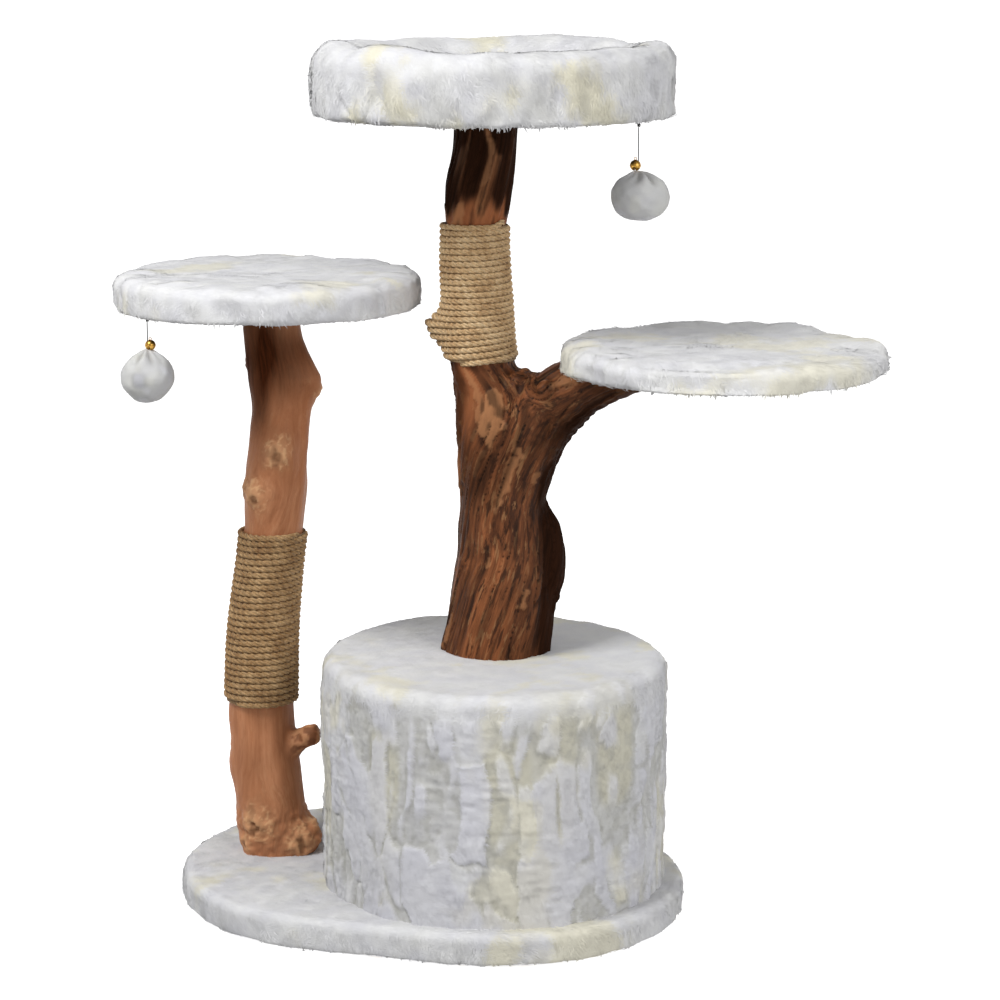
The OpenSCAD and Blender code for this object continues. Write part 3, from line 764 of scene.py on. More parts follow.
def tint_patches(skin, scale, amount, seed):
    """Soft cream and cool patches where the pattern is faint."""
    p = skin.flat()
    soft = rough(p * scale, 3, seed) + 0.25 * noise(p * np.array([90, 90, 35]), seed + 6)
    cream = ease(soft, 0.2, 0.75) * amount
    cool = ease(rough(p * scale * 0.8 + 9, 2, seed + 3), 0.1, 0.7) * amount * 0.7
    skin.cream = np.maximum(skin.cream, skin.shaped(cream))
    skin.cool = np.maximum(skin.cool, skin.shaped(cool * (1 - cream)) * 0.4)


def at(skin, field, row, column):
    """A skin's field at fractional rows and columns."""
    column = np.clip(column, 0, skin.columns - 1.001)
    r0, c0 = np.floor(row).astype(int), np.floor(column).astype(int)
    fr, fc = row - r0, column - c0
    if field.ndim == 3:
        fr, fc = fr[:, None], fc[:, None]
    r1, r0 = (r0 + 1) % skin.rows, r0 % skin.rows
    return ((field[r0, c0] * (1 - fc) + field[r0, c0 + 1] * fc) * (1 - fr)
            + (field[r1, c0] * (1 - fc) + field[r1, c0 + 1] * fc) * fr)


def scattered(skin, count, rng):
    """Random rows and columns on the kept part of a skin, even over its area."""
    p = skin.points
    edge = np.roll(p, -1, 0)[:, :-1] - p[:, :-1]
    area = np.linalg.norm(np.cross(edge, p[:, 1:] - p[:, :-1]), axis=2)
    kept = skin.keep & np.roll(skin.keep, -1, 0)
    area = area * kept[:, :-1] * kept[:, 1:]
    r, c = np.divmod(rng.choice(area.size, size=count, p=(area / area.sum()).ravel()), skin.columns - 1)
    return r + rng.random(count), c + rng.random(count)


def grow(name, skin, count, lay, seed, keep=None, length=11 * MM, width=1.2 * MM, lift=0.05, clump=0.012,
         spread=0.55, ripple=0.1, hug=True):
    """A pile of bent, tapered tufts on a skin. lay gives each root's direction as an angle: 0 runs along
    the rows and 90 degrees down the columns. lift is how high a tuft's middle stands over its length.
    keep tells which roots stay. Tufts that hug follow the skin's curve; the others run straight on."""
    rng = np.random.default_rng(seed + 100)
    r, c = scattered(skin, count, rng)
    if keep is not None:
        fine = keep(at(skin, skin.points, r, c))
        r, c = r[fine], c[fine]
    root, along, down, out = (at(skin, f, r, c) for f in (skin.points, skin.around, skin.down, skin.out))
    looks = {key: at(skin, getattr(skin, key), r, c) for key in ("groove_shade", "cream", "cool", "painted_shade")}
    n = len(root)
    angle = lay(root) + rng.normal(0, spread * 0.5, n)
    # roots in one clump lean the same way, so the pile breaks into locks
    third = np.stack([noise(root / clump, seed + k) for k in (1, 2, 3)], 1)
    ahead = around(along, down, angle) + third * spread
    ahead = unit(ahead - out * np.sum(ahead * out, 1, keepdims=True))
    size = length * rng.uniform(0.6, 1.15, n) * (1 - 0.45 * looks["groove_shade"]) * (1 + 0.25 * third[:, 0])
    rise = (size * lift * rng.uniform(0.5, 1.5, n) * np.clip(1 + 1.3 * third[:, 1], 0.3, 2.2))[:, None]
    side = np.cross(out, ahead) * (width * rng.uniform(0.6, 1.3, n) / 2)[:, None]
    sway = np.cross(out, ahead) * (size * rng.normal(0, 0.1, n))[:, None]
    base = root - out * 0.4 * MM
    if hug:
        sides = at(skin, skin.points, r + 0.5, c) - at(skin, skin.points, r - 0.5, c)
        ends = at(skin, skin.points, r, c + 0.5) - at(skin, skin.points, r, c - 0.5)
        row_step, column_step = (np.linalg.norm(d, axis=1) + 0.01 * MM for d in (sides, ends))
        farthest = 0.1 * skin.rows
        rows = np.clip(size * np.sum(ahead * along, 1) / row_step, -farthest, farthest)
        columns = size * np.sum(ahead * down, 1) / column_step
        out1, out2 = (at(skin, skin.out, r + t * rows, c + t * columns) for t in (0.45, 1))
        mid = at(skin, skin.points, r + 0.45 * rows, c + 0.45 * columns) + out1 * rise + sway
        tip = at(skin, skin.points, r + rows, c + columns) + out2 * rise * rng.uniform(0.3, 1, n)[:, None]
    else:
        out1 = out2 = out
        mid = base + ahead * (size * 0.45)[:, None] + out * rise + sway
        tip = base + ahead * size[:, None] + out * rise * rng.uniform(0.5, 1.25, n)[:, None] + sway * 0.2
    points = np.stack([base - side, base + side, mid - side * 0.8, mid + side * 0.8, tip], 1)
    points[..., 2] = np.maximum(points[..., 2], 0.6 * MM)
    start = np.arange(n)[:, None] * 5
    blades, tips = start + np.array([[0, 2, 3, 1]]), start + np.array([[3, 2, 4]])
    made = mesh_object(name, points.reshape(-1, 3), [blades, tips])
    looks["tint"] = rng.random(n)
    for key, value in looks.items():
        store(made, key, np.repeat(value, 5))
    rippled = third * ripple + rng.normal(0, 0.012, (n, 3))
    lean = np.stack([out, out, out1, out1, out2 + ahead * 0.2], 1) * 0.85 + rippled[:, None]
    inward = ease(np.sum(out[:, :2] * (root - skin.points.mean((0, 1)))[:, :2], 1), 0.02, -0.02)
    lean += UP * (0.9 * inward)[:, None, None]
    lean = unit(lean).reshape(-1, 3).astype(np.float32)
    made.data.normals_split_custom_set_from_vertices(lean)
    store(made, "lean", lean)
    made.visible_shadow = False
    place(made, "tree", (), plush)


def brushed(base, swing, scale, seed):
    """A lay that wanders about a base angle, in degrees."""
    return lambda p: np.radians(base + swing * noise(p * scale, seed))


LOCKS = dict(width=1.8 * MM, lift=0.11, clump=0.009)
FRINGE = dict(length=9 * MM, width=1.9 * MM, lift=0.16, clump=0.008, spread=0.3, hug=False)


# ---------- base ----------

PILE = 3.5 * MM          # how far the woven backing lies under the plush's outer surface


def make_base():
    low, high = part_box("base_cover")
    r = (high.y - low.y) / 2
    half = (high.x - low.x) / 2 - r
    top = high.z - 2 * MM
    bottom = low_of("base_board") - 1 * MM
    edge = r - PILE
    inner, out = stadium_outline(half, r, 700)
    profile = np.concatenate([
        [(0.012, top)], arc_points((edge - 0.011, top - 0.011), 0.011, 90, 0, 7),
        arc_points((edge - 0.004, bottom + 0.004), 0.004, 0, -90, 4), [(edge - 0.03, bottom)]])
    skin = Skin(inner, out, spaced(profile, 2.6 * MM))
    p = skin.flat()
    rim = ease(skin.out[..., 2].ravel(), 0.85, 0.3)
    fold(skin, rim, 21, 0.9)
    skin.push(0.4 * noise(p * 60, 4) * MM)
    tint_patches(skin, 11, 0.65, 31)
    # painted shade: the whole base cover made darker
    skin.painted_shade[:] = 0.3
    drum, post = middle("condo_wall"), post_line[0]
    drum_hole, post_hole = radius("condo_wall") - 4 * MM, 34 * MM

    def clear(q):
        return (from_axis(q, drum.x, drum.y) > drum_hole) & (from_axis(q, post[0], post[1]) > post_hole)

    def rooted(q):
        return clear(q) & (q[:, 2] > bottom + 5 * MM)

    def shaggy(q):
        edge_band = q[:, 2] < top - 2 * MM + 0.01 * noise(q * 14, 10)
        return rooted(q) & edge_band & (noise(q * 24, 11) > -0.1)

    skin.keep = skin.shaped(clear(p))
    place(skin.make("base_plush", plush), "tree", ["base_cover"])
    grow("base_pile", skin, 60000, brushed(20, 60, 9, 5), 1, rooted, ripple=0.13)
    grow("base_locks", skin, 16000, brushed(75, 60, 24, 8), 9, shaggy, length=12 * MM, ripple=0.25, **LOCKS)


# ---------- drum ----------

def door_distance(q):
    """Distance from the axis of the entry hole, and a large one on the drum's other side."""
    hole = middle("condo_door_trim")
    away = np.hypot(q[:, 0] - hole.x, q[:, 2] - hole.z)
    return np.where(q[:, 1] > 0, away, 9.0)


def make_drum():
    centre = middle("condo_wall")
    r = radius("condo_side_cover")
    top = high_of("condo_top_cover")
    bottom = low_of("condo_side_cover") - 4 * MM
    seam = top - 0.03
    hole = radius("condo_door_trim") - 6 * MM
    edge, soft, flat = r - PILE, 0.016, top - PILE + 1 * MM
    profile = np.concatenate([[(0.03, flat), (edge - soft - 0.02, flat)],
                              arc_points((edge - soft, flat - soft), soft, 90, 0, 9), [(edge, bottom)]])
    skin = Skin(*round_outline(centre, 620), spaced(profile, 2.3 * MM))
    p = skin.flat()
    reach = from_axis(p, centre.x, centre.y)
    upright = ease(reach, r - 0.04, r - 0.008)
    brush_up(skin, 0.06 + 0.2 * upright + 0.74 * ease(p[:, 2], top - 0.016, seam - 0.012), seed=4)
    brow = ease(reach, r - 0.05, r - 0.012) * ease(p[:, 2], seam - 0.01, top - 0.012)
    lumps = 1.6 * noise(p * 9, 2) + 1.0 * noise(p * 17, 8) * (1 - upright) + 2.2 * noise(p * 21, 9) * brow
    skin.push(lumps * MM)
    tint_patches(skin, 12, 0.6, 41)
    # painted shade: darker on the side than on the top
    skin.painted_shade[:] = skin.shaped(0.2 + 0.12 * ease(p[:, 2], top - 0.01, top - 0.05))
    stem, stem_hole = trunk_line[0], 52 * MM

    def clear(q):
        return (door_distance(q) > hole) & (from_axis(q, stem[0], stem[1]) > stem_hole)

    def above(q):
        return clear(q) & (q[:, 2] > seam)

    def below(q):
        return clear(q) & (q[:, 2] <= seam)

    def shaggy(q):
        band = (q[:, 2] > seam + 0.004 * noise(q * 20, 15)) & (q[:, 2] < top - 6 * MM)
        return clear(q) & band & (noise(q * 22, 14) > -0.15)

    skin.keep = skin.shaped(clear(p))
    place(skin.make("drum_top_plush", plush, p[:, 2] > seam), "tree", ["condo_top_cover"])
    place(skin.make("drum_side_plush", plush, p[:, 2] < seam - 2 * MM), "tree", ["condo_side_cover"])
    grow("drum_top_pile", skin, 100000, brushed(20, 80, 8, 7), 3, above, ripple=0.13)
    grow("drum_side_pile", skin, 120000, brushed(25, 75, 16, 6), 2, below,
         length=7 * MM, width=0.9 * MM, lift=0.09, clump=0.008, ripple=0.14)
    grow("drum_edge_locks", skin, 16000, brushed(80, 50, 20, 12), 13, shaggy,
         length=13 * MM, ripple=0.22, **LOCKS)


def make_door_trim():
    """Soft binding round the entry hole, folded over the wall's edge."""
    centre = middle("condo_wall")
    hole = middle("condo_door_trim")
    low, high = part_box("condo_door_trim")
    rho = (high.z - low.z) / 2
    outside = high.y - centre.y
    inside = radius("condo_lining") - 5 * MM
    halfway = (outside + inside) / 2
    section = [
        (rho + 6 * MM, outside - 3 * MM), (rho + 2 * MM, outside - 0.5 * MM), (rho - 3 * MM, outside - 1 * MM),
        (rho - 7 * MM, outside - 6 * MM), (rho - 8 * MM, halfway), (rho - 7 * MM, inside + 5 * MM),
        (rho - 3 * MM, inside + 0.5 * MM), (rho + 3 * MM, inside), (rho + 7 * MM, inside + 3 * MM),
        (rho + 2 * MM, inside + 6 * MM), (rho - 1 * MM, halfway), (rho + 2 * MM, outside - 6 * MM)]
    ring = spaced(section + section[:1], 1.8 * MM)
    a = np.linspace(0, TAU, 420, endpoint=False)
    gathers = 0.5 * np.sin(a * 61 + 2 * np.sin(a * 7)) + 0.4 * np.sin(a * 97 + 1.5 * np.sin(a * 5))
    out = ring[None, :, 0] + gathers[:, None] * 0.7 * MM
    deep = ring[None, :, 1] + gathers[:, None] * 0.4 * MM
    x = out * np.cos(a)[:, None]
    y = np.sqrt(np.maximum(deep**2 - x**2, 0))
    points = np.stack([hole.x + x, centre.y + y, hole.z + out * np.sin(a)[:, None]], -1).reshape(-1, 3)
    made = mesh_object("door_trim", points, grid_faces(len(a), len(ring))[:, ::-1])
    blank(made, "groove_shade", "cream", "cool")
    store(made, "tint", np.full(len(points), 0.8))
    place(made, "tree", ["condo_door_trim"], soft_lining)


def make_lining():
    """Velour glued inside the drum."""
    centre = middle("condo_wall")
    low, high = low_of("condo_lining"), high_of("condo_lining")
    r = radius("condo_lining")
    hole = radius("condo_door_trim") - 4 * MM
    skin = Skin(*round_outline(centre, 420), spaced([(r - 2 * MM, low), (r - 2 * MM, high)], 3.2 * MM))
    p = skin.flat()
    skin.push(0.5 * noise(p * 40, 3) * MM)
    skin.keep = skin.shaped(door_distance(p) > hole)
    place(skin.make("drum_lining", soft_lining), "tree", ["condo_lining"])


def make_mat():
    """Loose quilted mat on the drum's floor."""
    centre = middle("condo_mat")
    r = radius("condo_mat")
    low, high = low_of("condo_mat"), high_of("condo_mat")
    soft = (high - low) / 2 - 0.3 * MM
    profile = np.concatenate([
        [(0.2 * MM, high)], arc_points((r - soft, (low + high) / 2), soft, 90, -90, 9),
        [(1 * MM, low + 0.3 * MM)]])
    skin = Skin(*round_outline(centre, 300), spaced(profile, 4 * MM))
    p = skin.flat()
    reach = from_axis(p, centre.x, centre.y)
    square = 55 * MM
    quilt = np.abs(np.sin(p[:, 0] * math.pi / square)) * np.abs(np.sin(p[:, 1] * math.pi / square))
    skin.push((quilt - 0.9 + 0.3 * noise(p * 40, 6)) * 2.4 * MM * ease(reach, r, r - 0.03))
    puff(skin, p[:, 2] < low + 2 * MM, 1.5 * MM, 0.03, 2.0)
    made = skin.make("drum_mat", soft_lining)
    place(made, "tree", ["condo_mat"])


# ---------- platforms ----------

def make_platform(side, count, tuft, seed, waves, cap):
    """A padded board's cover. waves is how far its top and edge wander, in mm."""
    low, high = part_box(side + "_cover")
    centre, r = middle(side + "_cover"), radius(side + "_cover")
    top, bottom = high.z - PILE + 1 * MM, low.z + 0.6 * MM
    edge = r - PILE
    height = top - bottom
    soft_top = min(0.014, height * 0.45)
    soft_low = 0.006
    board = radius(side + "_board")
    profile = np.concatenate([
        [(0.2 * MM, top), (edge - soft_top - 0.02, top)],
        arc_points((edge - soft_top, top - soft_top), soft_top, 90, 0, 8),
        arc_points((edge - soft_low, bottom + soft_low), soft_low, 0, -90, 6), [(board - 0.016, bottom)]])
    skin = Skin(*round_outline(centre, 560), spaced(profile, 2.6 * MM))
    p = skin.flat()
    reach = from_axis(p, centre.x, centre.y)
    rim = ease(reach, r - 0.03, r - 0.006) * ease(p[:, 2], bottom - 1 * MM, bottom + 4 * MM)
    fold(skin, rim, seed)
    calm = ease(p[:, 2], bottom + 1 * MM, bottom + 7 * MM)
    wavy = waves * noise(p * 15, seed + 2) * ease(reach, r * 0.4, r * 0.9)
    skin.push((wavy + 0.7 * noise(p * 38, seed + 3)) * calm * MM)
    puff(skin, (p[:, 2] < bottom + 2 * MM) | (reach < r - 0.05), cap, 0.03)
    hold_out(skin, centre, board, low_of(side + "_board"), high_of(side + "_foam"))
    tint_patches(skin, 10, 0.55, seed + 20)
    # painted shade: the whole platform cover made darker
    skin.painted_shade[:] = 0.2 if side == "right" else 0.24
    place(skin.make(side + "_plush", plush), "tree", [side + "_cover"])

    def shaggy(q):
        band = (q[:, 2] < bottom + 0.02 + 0.02 * noise(q * 14, seed + 13)) & (q[:, 2] > bottom + 3 * MM)
        return band & (noise(q * 24, seed + 14) > -0.1)

    def hem(q):
        return (q[:, 2] < bottom + 12 * MM) & (noise(q * 30, seed + 9) > -0.1)

    grow(side + "_pile", skin, count, brushed(30, 80, 9, seed), seed, lift=0.045, ripple=0.16)
    grow(side + "_locks", skin, tuft * 3, brushed(75, 60, 24, seed + 11), seed + 12, shaggy,
         length=12 * MM, ripple=0.25, **LOCKS)
    grow(side + "_fringe", skin, tuft, brushed(90, 30, 20, seed + 5), seed + 7, hem, **FRINGE)


# ---------- bed ----------

def make_bed():
    low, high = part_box("bed_cover")
    centre, r = middle("bed_cover"), radius("bed_cover")
    cushion_r, cushion_top = radius("bed_cushion"), high_of("bed_cushion")
    knot = middle("right_toy_knot")
    top, bottom = high.z - PILE + 1 * MM, low.z + 0.6 * MM
    edge = r - PILE
    inside = cushion_r + 1 * MM
    crown = (edge - inside) / 2
    profile = np.concatenate([
        [(inside + 2 * MM, low_of("bed_cushion") + 2 * MM), (inside + 3 * MM, cushion_top - 0.012)],
        arc_points((inside + crown, top - crown), crown, 180, 0, 26),
        arc_points((edge - 0.007, bottom + 0.007), 0.007, 0, -90, 6), [(radius("bed_board") - 0.02, bottom)]])
    skin = Skin(*round_outline(centre, 640), spaced(profile, 2.8 * MM))
    p = skin.flat()
    reach = from_axis(p, centre.x, centre.y)
    rim = ease(reach, r - 0.03, r - 0.006) * ease(p[:, 2], bottom, bottom + 8 * MM)
    fold(skin, rim, 61, 1.0)
    calm = ease(p[:, 2], bottom + 1 * MM, bottom + 9 * MM)
    drawn = p * np.array([34, 34, 14]) + 0.25 * noise(p * 30, 75)[:, None]
    lower_half = ease(p[:, 2], (low.z + high.z) / 2 + 0.01, low.z + 0.02)
    locks = ease(np.abs(noise(drawn, 76)), 0.3, 0.0) * rim * lower_half
    skin.push(-3.0 * locks * calm * MM)
    # painted shade in the recesses between the locks
    skin.groove_shade = np.maximum(skin.groove_shade, skin.shaped(0.4 * locks))
    skin.push((5.5 * noise(p * np.array([13, 13, 14]), 62) + 2.4 * noise(p * 30, 63)) * calm * MM)
    held = np.zeros((skin.rows, skin.columns), bool)
    held[:, :4] = held[:, -8:] = True
    puff(skin, held.ravel(), 3 * MM, 0.04)
    hold_out(skin, centre, radius("bed_board"), low_of("bed_board"), high_of("bed_board"))
    tint_patches(skin, 9, 0.75, 65)
    # painted shade: the whole bed cover made darker
    skin.painted_shade[:] = 0.32
    place(skin.make("bed_plush", plush), "tree", ["bed_cover", "bed_bolster"])

    def shaggy(q):
        band = (q[:, 2] < bottom + 0.05 + 0.03 * noise(q * 14, 74)) & (q[:, 2] > bottom + 4 * MM)
        return band & (noise(q * 24, 73) > -0.15)

    def hem(q):
        off_knot = from_axis(q, knot.x, knot.y) > 20 * MM
        return (q[:, 2] < bottom + 14 * MM) & (noise(q * 30, 70) > -0.2) & off_knot

    grow("bed_pile", skin, 64000, brushed(25, 80, 9, 66), 67,
         length=12 * MM, width=1.3 * MM, lift=0.06, clump=0.014, ripple=0.2)
    grow("bed_locks", skin, 17000, brushed(75, 60, 24, 71), 72, shaggy, length=14 * MM, ripple=0.26, **LOCKS)
    grow("bed_fringe", skin, 9000, brushed(90, 30, 20, 68), 69, hem, **FRINGE)


def make_cushion():
    centre, r = middle("bed_cushion"), radius("bed_cushion") - 1 * MM
    low, high = low_of("bed_cushion"), high_of("bed_cushion")
    soft = (high - low) / 2 - 1 * MM
    profile = np.concatenate([
        [(0.2 * MM, high - 1 * MM), (r * 0.6, high - 1 * MM)],
        arc_points((r - soft, (low + high) / 2), soft, 90, -90, 12), [(1 * MM, low + 1 * MM)]])
    skin = Skin(*round_outline(centre, 420), spaced(profile, 3 * MM))
    p = skin.flat()
    skin.push((2.0 * noise(p * 14, 72) + 0.8 * noise(p * 40, 73)) * MM * ease(p[:, 2], low, low + 0.01))
    puff(skin, p[:, 2] < low + 4 * MM, 4 * MM, 0.04)
    tint_patches(skin, 12, 0.5, 74)
    made = skin.make("bed_cushion_plush", plush)
    place(made, "tree", ["bed_cushion"])
    grow("bed_cushion_pile", skin, 22000, brushed(20, 80, 9, 75), 76, lambda q: q[:, 2] > low + 0.012,
         length=9 * MM, width=0.9 * MM, lift=0.08, clump=0.008)


# ---------- natural wood ----------

def stem_line(node, start, low, high, step=0.01):
    """Middle line of an upright stem: rows of x, y, z and radius, found with level rays from inside it.
    A ray that runs out along a branch counts as no longer than 1.25 times the usual radius."""
    tree = tree_of(nodes[node].data)
    x, y, usual = start[0], start[1], 0.04
    rays = [(math.cos(a), math.sin(a)) for a in np.linspace(0, TAU, 24, endpoint=False)]
    rows = []
    for z in np.arange(low, high, step):
        for _ in range(3):
            reach = []
            for cx, cy in rays:
                hit = tree.ray_cast(Vector((x, y, z)), Vector((cx, cy, 0)))
                reach.append(hit[3] if hit[0] is not None else usual)
            usual = float(np.median(reach))
            reach = np.minimum(reach, 1.25 * usual)
            x += float(np.mean([d * cx for d, (cx, cy) in zip(reach, rays)]))
            y += float(np.mean([d * cy for d, (cx, cy) in zip(reach, rays)]))
        rows.append((x, y, float(z), usual))
    rows = np.array(rows)
    kernel = np.ones(5) / 5
    for k in (0, 1, 3):
        padded = np.concatenate([[rows[0, k]] * 2, rows[:, k], [rows[-1, k]] * 2])
        rows[:, k] = np.convolve(padded, kernel, "valid")
    return rows


def line_at(line, z):
    return [np.interp(z, line[:, 2], line[:, k]) for k in (0, 1, 3)]


def grain_of_stem(p, line, twist):
    """Grain coordinates: two across the fibres and one along them, in metres, with the fibres' slow twist."""
    x, y, r = line_at(line, p[:, 2])
    dx, dy = p[:, 0] - x, p[:, 1] - y
    turn = -twist * p[:, 2]
    c, s = np.cos(turn), np.sin(turn)
    return np.stack([dx * c - dy * s, dx * s + dy * c, p[:, 2]], 1), np.hypot(dx, dy) / r


def grain_of_branch(p, path):
    """The same along a branch that follows a few points."""
    path = np.asarray(path, float)
    steps = np.diff(path, axis=0)
    lengths = np.linalg.norm(steps, axis=1)
    starts = np.concatenate([[0], np.cumsum(lengths)[:-1]])
    best, along, offset = np.full(len(p), 9.0), np.zeros(len(p)), np.zeros((len(p), 3))
    for a, d, size, start in zip(path, steps, lengths, starts):
        t = np.clip((p - a) @ d / size**2, 0, 1)
        away = p - a - t[:, None] * d
        far = np.linalg.norm(away, axis=1)
        near = far < best
        best, along = np.where(near, far, best), np.where(near, start + t * size, along)
        offset = np.where(near[:, None], away, offset)
    ahead = (path[-1] - path[0]) / np.linalg.norm(path[-1] - path[0])
    side = np.cross(UP, ahead)
    side /= np.linalg.norm(side)
    over = np.cross(ahead, side)
    return np.stack([offset @ side, offset @ over, along + path[0, 2]], 1), best


def wood_mesh(name, node, voxel):
    """A smooth, even skin over a CAD stem."""
    made = bpy.data.objects.new(name, nodes[node].data.copy())
    bpy.context.scene.collection.objects.link(made)
    remesh = ("REMESH", dict(mode="VOXEL", voxel_size=voxel))
    mesh = settled(made, remesh, ("SMOOTH", dict(factor=0.5, iterations=10)))
    mesh.materials.clear()
    mesh.polygons.foreach_set("use_smooth", np.ones(len(mesh.polygons), bool))
    return made


def on_stem(p, line, turn, z):
    """The skin's point at a height, in the direction of turn in degrees."""
    x, y, _ = line_at(line, z)
    aim = np.array([math.cos(math.radians(turn)), math.sin(math.radians(turn))])
    off = p[:, :2] - np.array([x, y])
    near = np.abs(p[:, 2] - z) < 0.004
    return p[np.argmax(np.where(near, off @ aim / (np.linalg.norm(off, axis=1) + 1e-9), -9))]


def knots_on(p, knots):
    """For knots given as (x, y, z, size): how strongly each point lies in one, its rings, the wrinkles
    and the pit inside it, and the pull on the grain."""
    inside, rings, wrinkles, pit = np.zeros((4, len(p)))
    pull = np.zeros((len(p), 3))
    crinkle = ease(np.abs(noise(p * 125, 31) + 0.4 * noise(p * 260, 32)), 0.22, 0.03)
    for x, y, z, size in knots:
        away = p - np.array([x, y, z])
        far = np.linalg.norm(away * np.array([1, 1, 0.85]), axis=1) / size + 0.22 * noise(p * 75, 33)
        here = np.exp(-np.maximum(far, 0) ** 2)
        inside = np.maximum(inside, here)
        rings = np.where(here > 0.05, np.sin(far * 11 + 1.5 * noise(p * 160, 3)) * here, rings)
        wrinkles = np.maximum(wrinkles, crinkle * ease(far, 1.25, 0.7))
        low = np.linalg.norm((away + np.array([0, 0, 0.3 * size])) * np.array([1, 1, 0.7]), axis=1) / size
        pit = np.maximum(pit, ease(low + 0.15 * noise(p * 180, 34), 0.34, 0.14))
        pull -= away * (0.85 * np.exp(-(far / 1.9) ** 2))[:, None] * np.array([1, 1, 0.2])
    return inside, rings, wrinkles, pit, pull


def finish_wood(made, p, grain, masks, bark, material, bare):
    """Moves the skin by its grain and stores what the material needs. bare is 1 where no rope covers it."""
    normals = normals_of(made.data)
    flutes = noise(grain * np.array([55, 55, 5.0]), 5)
    splits = 1 - np.abs(noise(grain * np.array([120, 120, 7.0]) + 3, 6))
    cracks = ease(splits, 0.93, 0.99) * ease(noise(grain * np.array([30, 30, 9.0]), 7), -0.1, 0.3)
    ridges = noise(grain * np.array([210, 210, 11.0]), 8)
    fibres = noise(grain * np.array([480, 480, 22.0]), 9)
    height = (bark["flutes"] * flutes + bark["ridges"] * ridges + bark["fibres"] * fibres
              - bark["cracks"] * cracks + bark["lumps"] * noise(p * 28, 10) + masks.pop("height"))
    p = p + normals * (height * MM * bare)[:, None]
    made.data.vertices.foreach_set("co", p.astype(np.float32).ravel())
    made.data.update()
    # painted shade: the hollows between ridges and flutes darkened, together with the cracks
    shaded = bark["shade"] * ease(ridges + 0.5 * flutes, -0.25, -0.8)
    masks["crack_shade"] = 0.35 * bark["cracks"] * cracks + shaded
    store(made, "grain", grain)
    for key, values in masks.items():
        store(made, key, np.clip(values, 0, 1))
    made.data.materials.append(material)


def bare_of_rope(p, low, high):
    """1 away from the wound stretch of a stem, and 0.1 in it."""
    half = (high - low) / 2
    return 0.1 + 0.9 * ease(np.abs(p[:, 2] - (low + high) / 2), half - 4 * MM, half)


def blob(p, x, y, z, size, tall=0.8):
    """1 at a place and falling off smoothly over its size. It is taller than wide where tall is under 1."""
    far = np.linalg.norm((p - np.array([x, y, z])) * np.array([1, 1, tall]), axis=1)
    return np.exp(-(far / size) ** 2)


